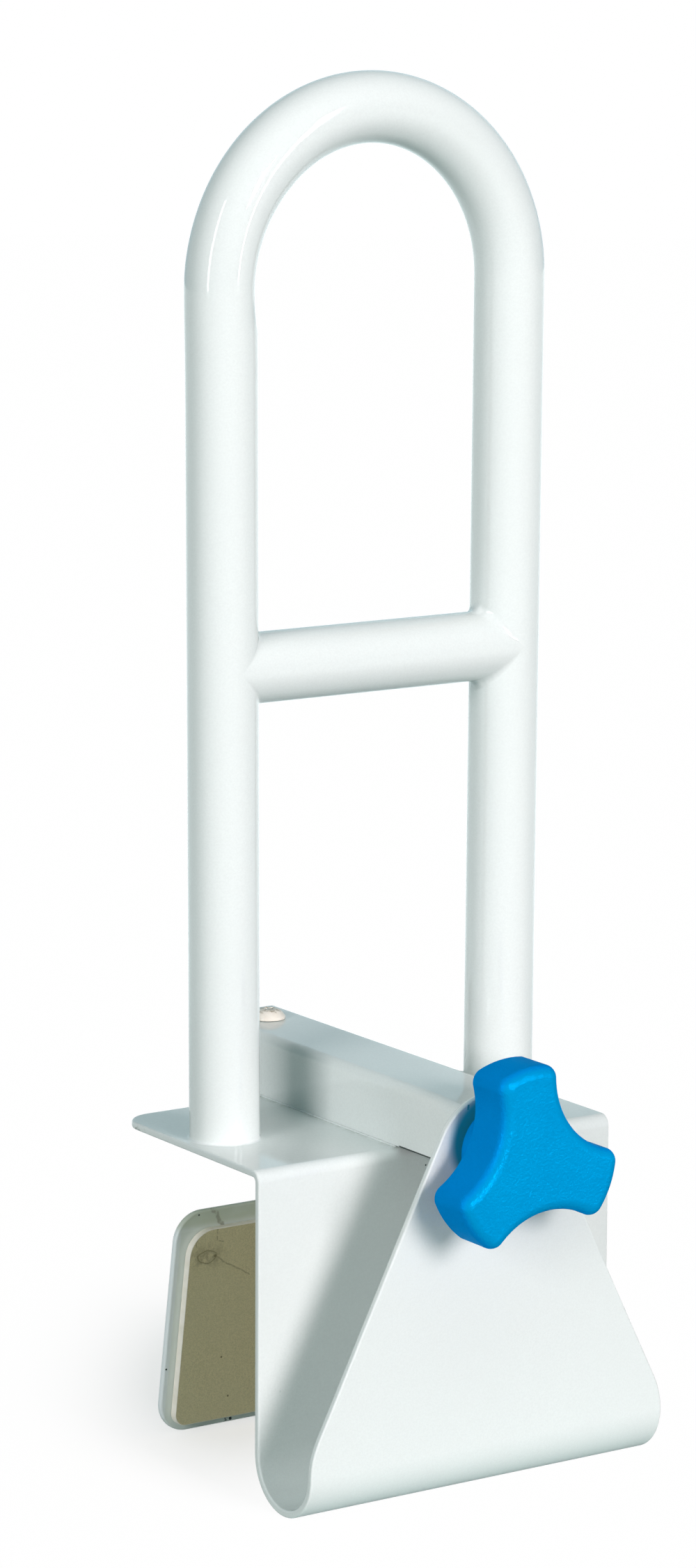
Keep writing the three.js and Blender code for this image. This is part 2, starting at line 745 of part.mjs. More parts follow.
function rivet(level) {
  const shank = rivetDiameter / 2;
  const tailSeat = armFront + armSheet + seatGap;
  const profile = [
    [0, jawFront],
    [rivetHeadRadius, jawFront],
    [shank, jawFront + rivetHeadRadius - shank],
    [shank, tailSeat],
    [rivetHeadRadius, tailSeat],
    [rivetHeadRadius - rivetTailHeight / 2, tailSeat + rivetTailHeight / 2],
    [shank, tailSeat + rivetTailHeight],
    [0, tailSeat + rivetTailHeight],
  ];
  return solid(turnedOnScrew(profile, smallTurnedSides).translate(0, 0, level - screwAxis));
}

// The hole for a rivet, wider all round by the gap, with its countersink in the jaw plate
function rivetHole(level) {
  const shank = rivetDiameter / 2 + seatGap;
  const head = rivetHeadRadius + seatGap;
  const profile = [
    [0, jawFront - cutOverrun],
    [head, jawFront - cutOverrun],
    [head, jawFront],
    [shank, jawFront + head - shank],
    [shank, armFront + armSheet + cutOverrun],
    [0, armFront + armSheet + cutOverrun],
  ];
  return turnedOnScrew(profile, smallTurnedSides).translate(0, 0, level - screwAxis);
}

function jawHalfWidthAt(level) {
  const share = (jawTop - level) / (jawTop - lowestPoint);
  return THREE.MathUtils.lerp(jawTopHalfWidth, jawBottomHalfWidth, share);
}

function jawPlate() {
  const outline = roundedOutline([
    [-jawBottomHalfWidth, lowestPoint, jawBottomCornerRadius],
    [jawBottomHalfWidth, lowestPoint, jawBottomCornerRadius],
    [jawTopHalfWidth, jawTop, jawTopCornerRadius],
    [-jawTopHalfWidth, jawTop, jawTopCornerRadius],
  ]);
  return cut(solid(plateAcrossY(outline, jawFront, jawFront + sheet)), ...rivetLevels().map(rivetHole));
}

function jawPad() {
  const low = lowestPoint + jawPadBottomBorder;
  const high = jawTop - jawPadTopBorder;
  const lowHalf = jawHalfWidthAt(low) - jawPadSideBorder;
  const highHalf = jawHalfWidthAt(high) - jawPadSideBorder;
  const outline = roundedOutline([
    [-lowHalf, low, jawPadBottomCornerRadius],
    [lowHalf, low, jawPadBottomCornerRadius],
    [highHalf, high, jawPadTopCornerRadius],
    [-highHalf, high, jawPadTopCornerRadius],
  ]);
  const rear = jawFront - seatGap;
  return solid(plateAcrossY(outline, rear - padThickness, rear));
}

function jawArm() {
  const bend = { y: armFront + armOuterRadius, z: armTop - armOuterRadius };
  const quarter = Math.PI / 2;
  const profile = new THREE.Shape([
    new THREE.Vector2(armRear, armTop),
    ...arcPoints(bend.y, bend.z, armOuterRadius, quarter, 2 * quarter),
    new THREE.Vector2(armFront, armLow),
    new THREE.Vector2(armFront + armSheet, armLow),
    ...arcPoints(bend.y, bend.z, armBendRadius, 2 * quarter, quarter),
    new THREE.Vector2(armRear, armTop - armSheet),
  ]);
  const half = armWidth / 2;
  const legOutline = roundedOutline([
    [-half, armLow, armEndRadius],
    [half, armLow, armEndRadius],
    [half, armTop + cutOverrun],
    [-half, armTop + cutOverrun],
  ]);
  const strip = solid(profileAcrossX(profile, half));
  const leg = solid(plateAcrossY(legOutline, armFront - cutOverrun, armRear + cutOverrun));
  const shaped = strip.intersect(leg);
  return cut(shaped, ...rivetLevels().map(rivetHole));
}

function armGusset() {
  const near = armFront + armSheet + seatGap;
  const high = armTop - armSheet - seatGap;
  const legEnd = high - gussetLegShare * (high - armLow);
  const stripEnd = near + gussetStripShare * (armRear - near);
  const clip = armBendRadius;
  const outline = roundedOutline([
    [near, high - clip],
    [near, legEnd],
    [near + gussetLandRadius, legEnd],
    [stripEnd, high - gussetLandRadius],
    [stripEnd, high],
    [near + clip, high],
  ]);
  const tailRoom = rivetLevels().map((level) => {
    const room = rod(rivetHeadRadius + 2 * seatGap, near - cutOverrun, near + rivetTailHeight + 2 * seatGap);
    return turnedOnScrew(room, smallTurnedSides).translate(0, 0, level - screwAxis);
  });
  return cut(solid(profileAcrossX(outline, armSheet / 2)), ...tailRoom);
}

// Materials
function finish(color, roughness, metalness) {
  return new THREE.MeshStandardMaterial({ color, roughness, metalness });
}

const whitePaint = finish(0xeef1f0, 0.3, 0);
const bluePlastic = finish(0x0a86d2, 0.45, 0);
const tanRubber = finish(0x8d8468, 0.9, 0);
const creamPlastic = finish(0xf1ead8, 0.4, 0);
const blackPlastic = finish(0x24272a, 0.6, 0);
const zincSteel = finish(0xb9bdc2, 0.35, 1);
const whitePlastic = finish(0xe9ebea, 0.5, 0);

// Assembly
const rail = new THREE.Group();

function addPiece(name, manifold, material) {
  const mesh = new THREE.Mesh(geometryOf(manifold), material);
  mesh.name = name;
  rail.add(mesh);
}

addPiece('handle_loop', handleLoop(), whitePaint);
addPiece('cross_rung', crossRung(), whitePaint);
addPiece('clamp_bracket', clampBracket(), whitePaint);
addPiece('guide_channel', guideChannel(), whitePaint);
addPiece('fixed_pad', fixedPad(), tanRubber);
addPiece('rim_pad', rimPad(), tanRubber);
addPiece('guide_screw', guideScrew(), creamPlastic);
addPiece('guide_nut', guideNut(), zincSteel);
addPiece('glide_pad', glidePad(), blackPlastic);
addPiece('screw_bush', screwBush(), blackPlastic);
addPiece('knob', knob(), bluePlastic);
addPiece('knob_insert', knobInsert(), zincSteel);
addPiece('lead_screw', leadScrew(), zincSteel);
addPiece('retaining_collar', retainingCollar(), zincSteel);
addPiece('collar_pin', collarPin(), zincSteel);
addPiece('inner_slide', innerSlide(), whitePaint);
addPiece('travel_nut', travelNut(), zincSteel);
addPiece('slide_end_cap', slideEndCap(), whitePlastic);
addPiece('jaw_arm', jawArm(), whitePaint);
addPiece('arm_gusset', armGusset(), whitePaint);
addPiece('jaw_plate', jawPlate(), whitePaint);
addPiece('jaw_pad', jawPad(), tanRubber);
rivetLevels().forEach((level, i) => {
  addPiece(i === 0 ? 'arm_rivet_upper' : 'arm_rivet_lower', rivet(level), zincSteel);
});

export default rail;
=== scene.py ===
import math

import bmesh
import bpy
from mathutils import Matrix, Vector, noise
from mathutils.geometry import tessellate_polygon


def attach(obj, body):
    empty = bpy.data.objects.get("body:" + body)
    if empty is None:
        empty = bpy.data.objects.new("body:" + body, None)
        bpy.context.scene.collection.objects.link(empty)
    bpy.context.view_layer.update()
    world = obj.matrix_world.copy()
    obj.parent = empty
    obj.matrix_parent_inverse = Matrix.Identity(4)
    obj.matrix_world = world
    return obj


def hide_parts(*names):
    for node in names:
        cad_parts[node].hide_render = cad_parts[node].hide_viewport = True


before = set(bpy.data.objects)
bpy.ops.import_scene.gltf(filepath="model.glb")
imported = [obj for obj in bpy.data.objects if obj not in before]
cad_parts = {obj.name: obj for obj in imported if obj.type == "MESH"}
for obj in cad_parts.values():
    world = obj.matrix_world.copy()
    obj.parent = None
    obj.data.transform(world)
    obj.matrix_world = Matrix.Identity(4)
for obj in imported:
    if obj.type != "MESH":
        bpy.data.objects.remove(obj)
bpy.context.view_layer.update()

# Sizes in millimetres, in the part's frame: +X across the rail, +Y from the knob to the jaw, +Z up
MM = 0.001
GAP = 0.3
SHEET = 2.65
PLATE_TOP = 4.95
PLATE_UNDER = PLATE_TOP - SHEET
HALF_WIDTH = 76.2
PLATE_REAR = 45.3
PLATE_CORNER, PLATE_CORNER_RIGHT = 11.0, 25.0
WALL_FRONT = 48.05
TOP_BEND = 1.55
FOLD = 15.72
LOWEST = PLATE_TOP - 121.15
FOLD_LEVEL = LOWEST + FOLD + SHEET
TAPER_RISE = 6.5
TAPER_CORNER = 30.0
FLANGE_TOP_RADIUS = 24.1
FLANGE_REAR = -WALL_FRONT - 2 * FOLD
FLANGE_FRONT = FLANGE_REAR - SHEET
FOOT = PLATE_TOP + GAP
CHANNEL_TOP = FOOT + 23.4
CHANNEL_HALF = 15.875
CHANNEL_WALL, CHANNEL_CORNER = 2.0, 3.6
CHANNEL_REAR = 82.0
FLANGE_TOP = CHANNEL_TOP + 2.4
SCREW_AXIS = PLATE_TOP + 6.06
TUBE = 12.7
LOOP_RADIUS = 61.5
LOOP_CENTRE = PLATE_TOP + 378.5 - TUBE - LOOP_RADIUS
SPLAY = math.radians(0.29)
RUNG_LEVEL = PLATE_TOP + 169.6
GUIDE_PLACE = 64.0
HEAD_BASE = CHANNEL_TOP + GAP
TRAVEL_IN, TRAVEL_OUT = 12.7, 62.7
SLIDE_HALF = CHANNEL_HALF - CHANNEL_WALL - GAP
SLIDE_LOW, SLIDE_TOP = FOOT + 0.075, CHANNEL_TOP - CHANNEL_WALL - 1.2 - 2 * GAP
SLIDE_FRONT, SLIDE_REAR = -31.0, 86.0
SLIDE_WALL, SLIDE_CORNER = 2.0, 2.6
SLOT_HALF = 2.8
JAW_FRONT = 38.6
JAW_TOP = PLATE_TOP - 38.2
JAW_LOW_HALF, JAW_TOP_HALF = 64.6, 55.8
PAD, PAD_EDGE = 3.2, 0.35
ARM, ARM_HALF = 3.0, 13.5
ARM_FRONT, ARM_REAR = JAW_FRONT + SHEET + GAP, 80.0
ARM_LOW, ARM_TOP = PLATE_TOP - 92, SLIDE_LOW - GAP
NOTCH_END = ARM_FRONT - TRAVEL_IN - 1.6

# Camera, fitted to the picture's edges: degrees, metres, and pixels of a picture 1000 wide and 2253 high
CAMERA_TURNS = -33.698, 10.461, 0.274
CAMERA_PLACE = -0.99279, -1.47757, 0.45669
FOCAL_PIXELS, PICTURE_HEIGHT = 7203.17, 2253


def set_camera():
    yaw, pitch, roll = (math.radians(v) for v in CAMERA_TURNS)
    forward = Vector((-math.sin(yaw) * math.cos(pitch), math.cos(yaw) * math.cos(pitch), -math.sin(pitch)))
    right = Vector((math.cos(yaw), math.sin(yaw), 0))
    up = right.cross(forward)
    turned_right = math.cos(roll) * right + math.sin(roll) * up
    turned_up = -math.sin(roll) * right + math.cos(roll) * up
    data = bpy.data.cameras.new("camera")
    data.sensor_width = 36
    data.lens = 36 * FOCAL_PIXELS / PICTURE_HEIGHT
    data.clip_start, data.clip_end = 0.05, 100
    camera = bpy.data.objects.new("camera", data)
    bpy.context.scene.collection.objects.link(camera)
    basis = Matrix((turned_right, turned_up, -forward)).transposed().to_4x4()
    basis.translation = Vector(CAMERA_PLACE)
    camera.matrix_world = basis
    bpy.context.scene.camera = camera


# Materials
class Nodes:
    """The node tree of a material, or of the world, with short ways to add and link nodes."""

    def __init__(self, name, world=False):
        self.owner = (bpy.data.worlds if world else bpy.data.materials).new(name)
        self.owner.use_nodes = True
        self.tree = self.owner.node_tree
        self.tree.nodes.clear()
        if not world:
            self.place = self.add("TexCoord").outputs["Object"]

    def add(self, kind, values=(), **settings):
        """A shader node; values are its inputs, as sockets to link or as constants."""
        node = self.tree.nodes.new("ShaderNode" + kind)
        for key, value in settings.items():
            setattr(node, key, value)
        for key, value in dict(values).items():
            if isinstance(value, bpy.types.NodeSocket):
                self.tree.links.new(value, node.inputs[key])
            else:
                node.inputs[key].default_value = value
        return node

    def noise(self, scale, detail, seed, rough=0.5, at=None):
        values = {"Vector": at or self.place, "Scale": scale, "Detail": detail, "Roughness": rough, "W": seed}
        return self.add("TexNoise", values, noise_dimensions="4D").outputs["Fac"]

    def math(self, how, a, b=0.0):
        return self.add("Math", {0: a, 1: b}, operation=how).outputs[0]

    def times(self, a, b):
        return self.math("MULTIPLY", a, b)

    def minus(self, a, b):
        return self.math("SUBTRACT", a, b)

    def most(self, most, *others):
        for other in others:
            most = self.math("MAXIMUM", most, other)
        return most

    def reach(self, a, b):
        return self.math("SQRT", self.math("ADD", self.math("POWER", a, 2), self.math("POWER", b, 2)))

    def ramp(self, value, low, high, to_low=0.0, to_high=1.0, smooth=True):
        values = {"Value": value, "From Min": low, "From Max": high, "To Min": to_low, "To Max": to_high}
        kind = "SMOOTHSTEP" if smooth else "LINEAR"
        return self.add("MapRange", values, interpolation_type=kind).outputs["Result"]

    def patches(self, scale, detail, seed, low=0.3, high=0.7, to_low=0.0, to_high=1.0, rough=0.5, at=None):
        return self.ramp(self.noise(scale, detail, seed, rough, at), low, high, to_low, to_high)

    def mix(self, share, a, b):
        a, b = (v if isinstance(v, bpy.types.NodeSocket) else (*v, 1) for v in (a, b))
        return self.add("Mix", {0: share, 6: a, 7: b}, data_type="RGBA").outputs[2]

    def bump(self, height, distance, strength=1.0, normal=None):
        values = {"Height": height, "Distance": distance, "Strength": strength}
        if normal:
            values["Normal"] = normal
        return self.add("Bump", values).outputs["Normal"]

    def axes(self):
        return self.add("SeparateXYZ", {"Vector": self.place}).outputs

    def finish(self, colour, roughness, normal, more=()):
        values = {"Base Color": colour, "Roughness": roughness, "Normal": normal, **dict(more)}
        shader = self.add("BsdfPrincipled", values)
        self.add("OutputMaterial", {0: shader.outputs[0]})
        return self.owner

    def by_ray(self, surface, looks, output):
        """Shows each look to its own kind of ray, and the surface to all others."""
        path = self.add("LightPath").outputs
        for ray, look in looks:
            surface = self.add("MixShader", {0: path[ray], 1: surface, 2: look}).outputs[0]
        self.add(output, {0: surface})


def soft_spot(n, x, z, spot_x, spot_z, radius):
    """1 inside a round spot and 0 outside it."""
    reach = n.reach(n.minus(x, spot_x * MM), n.minus(z, spot_z * MM))
    return n.ramp(reach, 0.65 * radius * MM, 1.35 * radius * MM, 1, 0)


def stroke(n, x, z, start, end, width, sway):
    """1 on a line from start to end, each an (x, z), and 0 away from it; sway makes it wander."""
    along = Vector((end[0] - start[0], end[1] - start[1]))
    length, half = along.length, along.length / 2 * MM
    along.normalize()
    from_x, from_z = n.minus(x, start[0] * MM), n.minus(z, start[1] * MM)
    run = n.math("ADD", n.times(from_x, along.x), n.times(from_z, along.y))
    side = n.minus(n.times(from_x, along.y), n.times(from_z, along.x))
    bend = n.times(n.minus(n.noise(260, 2, length), 0.5), sway * MM)
    past = n.most(n.minus(n.math("ABSOLUTE", n.minus(run, half)), half), 0)
    return n.ramp(n.reach(n.math("ADD", side, bend), past), 0.4 * width * MM, width * MM, 1, 0)


def chipped(n, colour):
    """Spots on the bracket worn to the dark metal."""
    worn = []
    for *spot, radius in BRACKET_CHIPS:
        centre = tuple(v * MM for v in spot)
        off = n.add("VectorMath", {0: n.place, 1: centre}, operation="DISTANCE").outputs["Value"]
        worn.append(n.ramp(off, 0.6 * radius * MM, 1.3 * radius * MM, 1, 0))
    broken = n.patches(1500, 2, 6, 0.25, 0.45)
    return n.mix(n.times(n.most(*worn), broken), colour, (0.02, 0.05, 0.055))


def painted_shade_marks(n, colour):
    """Painted shade: a dark blue ring on the flange's front round the screw, for the knob's shadow tinted by
    light from the knob, and uneven patches in the crease beside the channel. The plate's left edge is darker
    in patches near its rear corner.
    """
    x, y, z = n.axes()
    reach = n.reach(x, n.minus(z, (SCREW_AXIS + 2.5) * MM))
    ring = n.times(n.ramp(reach, 15.5 * MM, 20.5 * MM, 1, 0), n.ramp(y, -81.5 * MM, -80.5 * MM, 1, 0))
    # Painted shade: the knob's shadow on the flange, tinted blue by light thrown back from the knob
    colour = n.mix(ring, colour, (0.015, 0.33, 0.46))
    # Painted shade in patches in the crease beside and under the channel; the left edge near the rear corner
    # is darker in patches
    beside = n.ramp(n.math("ABSOLUTE", x), CHANNEL_HALF * MM, (CHANNEL_HALF + 3.5) * MM, 1, 0)
    crease_shade = n.times(beside, n.ramp(y, (1 - WALL_FRONT) * MM, (3 - WALL_FRONT) * MM))
    tip = n.times(n.ramp(x, -HALF_WIDTH * MM, (1.7 - HALF_WIDTH) * MM, 1, 0), n.ramp(y, 26 * MM, 32 * MM))
    patches = n.patches(190, 5, 8, 0.42, 0.66, 0, 0.6, rough=0.7)
    return n.mix(n.times(n.most(crease_shade, tip), patches), colour, (0.33, 0.38, 0.33))


def painted_gap_shade(n, colour):
    """The channel's lower edge, dark where it runs past the vertical plate: painted shade of the gap under
    it.
    """
    _, y, z = n.axes()
    gap_shade = n.times(n.ramp(z, (FOOT + 0.6) * MM, (FOOT + 0.8) * MM, 1, 0), n.ramp(y, -47 * MM, -46 * MM, 1, 0))
    # Painted shade: near black on the lower edge, for the shadow in the gap below it
    return n.mix(gap_shade, colour, (0.02, 0.035, 0.035))


def white_paint(name, *marks):
    """Glossy white powder coat. Each mark takes the tree and the colour so far, and gives the next colour."""
    n = Nodes(name)
    light, shade = (0.815, 0.872, 0.855), (0.57, 0.66, 0.63)
    colour = n.mix(n.patches(14, 3, 1, 0.35, 0.7), light, tuple(0.985 * v for v in light))
    colour = n.mix(n.patches(1300, 2, 7, rough=0.7), colour, tuple(0.955 * v for v in light))
    specks = n.add("TexVoronoi", {"Vector": n.place, "Scale": 26, "Randomness": 1.0})
    speck = n.times(n.ramp(specks.outputs["Distance"], 0.010, 0.018, 1, 0),
                    n.patches(9, 1, 4, 0.60, 0.66))
    colour = n.mix(n.times(speck, 0.5), colour, shade)
    for mark in marks:
        colour = mark(n, colour)
    orange_peel = n.bump(n.noise(240, 2, 2), 0.00004, 0.5)
    fine = n.bump(n.noise(1500, 2, 3), 0.000004, 0.3, orange_peel)
    return n.finish(colour, n.patches(60, 3, 5, 0.3, 0.7, 0.03, 0.065), fine, {"IOR": 1.5})


def jaw_paint():
    """The jaw's bluish paint, darker inside a strip along its side edges and in dirty smears near its top
    edge, with a run of dirt on that edge and a few chips.
    """
    n = Nodes("jaw_paint")
    x, _, z = n.axes()
    light, darker_tone, dirt = (0.90, 0.97, 0.98), (0.66, 0.73, 0.62), (0.34, 0.35, 0.28)
    half = n.ramp(z, LOWEST * MM, JAW_TOP * MM, JAW_LOW_HALF * MM, JAW_TOP_HALF * MM, False)
    inside = n.ramp(n.minus(half, n.math("ABSOLUTE", x)), 1.6 * MM, 2.6 * MM, 0, 0.42)
    smear = n.times(n.patches(60, 4, 1, 0.25, 0.6, 0.35, 1, rough=0.6),
                    n.ramp(z, (JAW_TOP - 8.5) * MM, (JAW_TOP - 4) * MM))
    colour = n.mix(n.most(smear, inside), light, darker_tone)
    run = n.most(*(stroke(n, x, z, *line, 1.1, 1.6) for line in JAW_DIRT))
    run = n.times(run, n.patches(500, 3, 5, 0.35, 0.6, 0.1, 0.8))
    colour = n.mix(run, colour, dirt)
    chips = n.most(*(soft_spot(n, x, z, *spot) for spot in JAW_CHIPS))
    broken = n.patches(900, 2, 7, 0.35, 0.5)
    colour = n.mix(n.times(chips, broken), colour, (0.015, 0.035, 0.03))
    peel = n.bump(n.noise(300, 2, 2), 0.00003, 0.5)
    return n.finish(colour, n.ramp(smear, 0, 1, 0.25, 0.6), peel, {"IOR": 1.5})


def knob_plastic():
    """Blue plastic with a pebbled skin; its sides get a deeper, slightly darker blue than its face: painted
    shade.
    """
    n = Nodes("moulded_blue")
    drift = n.patches(30, 2, 1)
    face = n.mix(drift, (0.0002, 0.315, 0.665), (0.0002, 0.29, 0.63))
    side = n.mix(drift, (0.0002, 0.275, 0.74), (0.0002, 0.255, 0.70))
    # Painted shade: where the surface turns away from the front, the colour goes over to the darker side blue
    normal = n.add("TexCoord").outputs["Normal"]
    facing = n.add("SeparateXYZ", {"Vector": normal}).outputs["Y"]
    colour = n.mix(n.ramp(facing, -0.9, -0.35), face, side)
    pebble = n.bump(n.noise(1000, 3, 2, 0.65), 0.00028, 1.0)
    fine = n.bump(n.noise(2600, 2, 3), 0.00002, 0.6, pebble)
    tint = {"Specular IOR Level": 0.0, "Specular Tint": (0.3, 0.85, 1.0, 1)}
    return n.finish(colour, 0.11, fine, {"IOR": 1.46, "Metallic": 0.14, **tint})


def pad_rubber(marked=False):
    """Grained tan rubber. The jaw's pad has an old ring mark, worn lines and a few dark specks."""
    n = Nodes("tan_rubber_marked" if marked else "tan_rubber")
    base, dark = (0.84, 0.745, 0.48), (0.61, 0.55, 0.34)
    colour = n.mix(n.patches(1900, 3, 1, 0.25, 0.75, rough=0.7), dark, base)
    colour = n.mix(n.patches(45, 3, 2, 0.3, 0.75, 0, 0.3), colour, (0.68, 0.63, 0.42))
    if marked:
        x, _, z = n.axes()
        wander = n.times(n.minus(n.noise(330, 4, 3), 0.5), 0.7)
        reach = n.reach(*(n.math("DIVIDE", n.minus(value, middle * MM), size * MM)
                          for value, middle, size in zip((x, z), RING_MARK, RING_SIZE)))
        ring = n.ramp(n.math("ABSOLUTE", n.math("ADD", n.minus(reach, 1), wander)), 0.02, 0.15, 1, 0)
        worn = n.patches(500, 3, 5, 0.35, 0.6)
        stain = n.times(n.ramp(reach, 0.6, 2.8, 0.5, 0), worn)
        lines = n.most(*(stroke(n, x, z, *line, 1.0) for line in PAD_LINES))
        lines = n.times(lines, n.patches(420, 2, 8, 0.36, 0.5, 0.15, 1))
        specks = n.most(*(soft_spot(n, x, z, *spot) for spot in PAD_SPECKS))
        marks = n.most(n.times(ring, 0.8), stain, n.times(lines, 0.5), specks)
        colour = n.mix(n.times(marks, 0.75), colour, (0.11, 0.085, 0.04))
    grain = n.bump(n.noise(1300, 4, 6, 0.7), 0.0001, 0.5)
    return n.finish(colour, 0.86, grain, {"Specular IOR Level": 0.3})


def pad_edge():
    n = Nodes("cream_edge")
    colour = n.mix(n.patches(300, 3, 1), (0.99, 0.95, 0.86), (0.93, 0.89, 0.78))
    colour = n.mix(n.patches(60, 2, 3, 0.55, 0.75, 0, 0.3), colour, (0.60, 0.57, 0.44))
    return n.finish(colour, 0.7, n.bump(n.noise(700, 3, 2), 0.0001, 0.5))


def plain_plastic(name, first, second, rough):
    n = Nodes(name)
    colour = n.mix(n.patches(80, 3, 1), first, second)
    roughness = n.patches(200, 2, 3, 0.3, 0.7, rough - 0.06, rough + 0.06)
    return n.finish(colour, roughness, n.bump(n.noise(600, 3, 2), 0.00006, 0.5), {"IOR": 1.46})


def screw_plastic():
    """Cream plastic, with brown dirt in the recess of the head."""
    n = Nodes("cream_head")
    colour = n.mix(n.patches(400, 3, 1), (0.83, 0.80, 0.72), (0.78, 0.74, 0.65))
    top = n.ramp(n.axes()["Z"], (HEAD_BASE + 2.2) * MM, (HEAD_BASE + 3.1) * MM)
    dirt = n.times(top, n.patches(650, 3, 3, 0.45, 0.6))
    colour = n.mix(n.times(dirt, 0.7), colour, (0.23, 0.17, 0.09))
    return n.finish(colour, 0.34, n.bump(n.noise(500, 2, 2), 0.00005, 0.4))


def zinc(name, stretch=(1.0, 1.0, 1.0)):
    """Zinc-plated steel with fine marks, which are drawn out along the axes where stretch is small."""
    n = Nodes(name)
    drawn = n.add("Mapping", {"Vector": n.place, "Scale": stretch}).outputs[0]
    colour = n.mix(n.patches(90, 4, 1), (0.50, 0.52, 0.54), (0.60, 0.61, 0.61))
    roughness = n.patches(260, 4, 2, to_low=0.22, to_high=0.42, rough=0.6, at=drawn)
    normal = n.bump(n.noise(900, 3, 3, 0.6, drawn), 0.00003, 0.5)
    return n.finish(colour, roughness, normal, {"Metallic": 1.0})


# Outlines
def arc(x, y, radius, start, end, step):
    count = max(2, math.ceil(abs(end - start) / step))
    angles = [start + (end - start) * i / count for i in range(count + 1)]
    return [(x + radius * math.cos(a), y + radius * math.sin(a)) for a in angles]


def rounded(corners, step=math.pi / 24, closed=True):
    """Corners are (x, y, radius) and go counterclockwise; each becomes an arc that touches both sides."""
    points = []
    for i, corner in enumerate(corners):
        x, y, radius = (*corner, 0)[:3]
        if not radius or (not closed and i in (0, len(corners) - 1)):
            points.append((x, y))
            continue
        here = Vector((x, y))
        back = (Vector(corners[i - 1][:2]) - here).normalized()
        ahead = (Vector(corners[(i + 1) % len(corners)][:2]) - here).normalized()
        half = back.angle(ahead) / 2
        centre = here + (back + ahead).normalized() * radius / math.sin(half)
        start = here + back * radius / math.tan(half) - centre
        end = here + ahead * radius / math.tan(half) - centre
        turn = math.atan2(start.x * end.y - start.y * end.x, start.dot(end))
        first = math.atan2(start.y, start.x)
        points += arc(centre.x, centre.y, radius, first, first + turn, step)
    return points


def around(count, shift=0.0):
    """Angles in even steps round a whole turn."""
    return [math.tau * (i + shift) / count for i in range(count)]


def circle(x, y, radius, count=40):
    return arc(x, y, radius, 0, math.tau, math.tau / count)[:-1]


def unit(value):
    return min(1.0, max(0.0, value))


def spread(points, out):
    """A closed outline moved sideways: to its right for positive out, to its left for negative."""
    moved = []
    for i, point in enumerate(points):
        here, before, after = Vector(point), Vector(points[i - 1]), Vector(points[(i + 1) % len(points)])
        first, second = (here - before).normalized(), (after - here).normalized()
        one, two = Vector((first.y, -first.x)), Vector((second.y, -second.x))
        moved.append(tuple(here + (one + two) * out / (1 + max(-0.6, one.dot(two)))))
    return moved


# Meshes
def at(x, y, z):
    return Vector((x, y, z)) * MM


def add_object(name, bm):
    mesh = bpy.data.meshes.new(name)
    bm.to_mesh(mesh)
    bm.free()
    piece = bpy.data.objects.new(name, mesh)
    bpy.context.scene.collection.objects.link(piece)
    return piece


def make(name, bm, materials, body, replaces=(), weighted=True, sharp=None):
    """A piece on its body. Edges over sharp degrees stay sharp; weighted shades flat faces flat."""
    bmesh.ops.remove_doubles(bm, verts=bm.verts, dist=1e-7)
    bmesh.ops.recalc_face_normals(bm, faces=bm.faces)
    piece = add_object(name, bm)
    for polygon in piece.data.polygons:
        polygon.use_smooth = True
    if sharp:
        piece.data.set_sharp_from_angle(angle=math.radians(sharp))
    for material in materials:
        piece.data.materials.append(material)
    if weighted:
        piece.modifiers.new("weighted_normals", "WEIGHTED_NORMAL").keep_sharp = True
    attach(piece, body)
    if replaces:
        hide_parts(*replaces)


class BentLine:
    """The middle line of a bent sheet, as straight runs and arcs; at() gives the place at a length along it
    and a height over it, on its right-hand side."""

    def __init__(self, start, heading, *runs):
        self.parts, self.cuts = [], []
        here, angle, length = Vector(start), heading, 0.0
        for run in runs:
            if len(run) == 1:
                self.parts.append((length, here.copy(), angle, None, 0))
                here += Vector((math.cos(angle), math.sin(angle))) * run[0]
                length += run[0]
                continue
            radius, turn = run
            side = 1 if turn > 0 else -1
            centre = here + Vector((-math.sin(angle), math.cos(angle))) * side * radius
            self.parts.append((length, centre, angle, radius, side))
            steps = max(3, math.ceil(abs(turn) / (math.pi / 2) * (9 + radius / 2)))
            self.cuts += [length + radius * abs(turn) * i / steps for i in range(steps + 1)]
            angle += turn
            here = centre + Vector((math.sin(angle), -math.cos(angle))) * side * radius
            length += radius * abs(turn)
        self.length = length

    def at(self, length, height):
        reached = [part for part in self.parts[1:] if part[0] <= length + 1e-9]
        start, origin, angle, radius, side = (self.parts[:1] + reached)[-1]
        if radius is None:
            spot = origin + Vector((math.cos(angle), math.sin(angle))) * (length - start)
        else:
            angle += side * (length - start) / radius
            spot = origin + Vector((math.sin(angle), -math.cos(angle))) * side * radius
        return spot + Vector((math.sin(angle), -math.cos(angle))) * height


def flat_fill(loops, cuts):
    bm = bmesh.new()
    flat = [[Vector((x, y, 0)) for x, y in loop] for loop in loops]
    verts = [bm.verts.new(p) for loop in flat for p in loop]
    for triangle in tessellate_polygon(flat):
        bm.faces.new([verts[i] for i in triangle])
    bmesh.ops.recalc_face_normals(bm, faces=bm.faces)
    if sum(f.normal.z for f in bm.faces) < 0:
        bmesh.ops.reverse_faces(bm, faces=bm.faces)
    for cut in cuts:
        geometry = bm.verts[:] + bm.edges[:] + bm.faces[:]
        bmesh.ops.bisect_plane(bm, geom=geometry, plane_co=(0, cut, 0), plane_no=(0, 1, 0), dist=1e-6)
    return bm


def boundary_loops(bm):
    """The loops of boundary vertices, each with the face on its left."""
    following = {}
    for edge in bm.edges:
        if len(edge.link_faces) == 1:
            loop = edge.link_loops[0]
            following[loop.vert] = loop.link_loop_next.vert
    loops = []
    while following:
        start = next(iter(following))
        loop = [start]
        while True:
            after = following.pop(loop[-1])
            if after is start:
                break
            loop.append(after)
        loops.append(loop)
    return loops


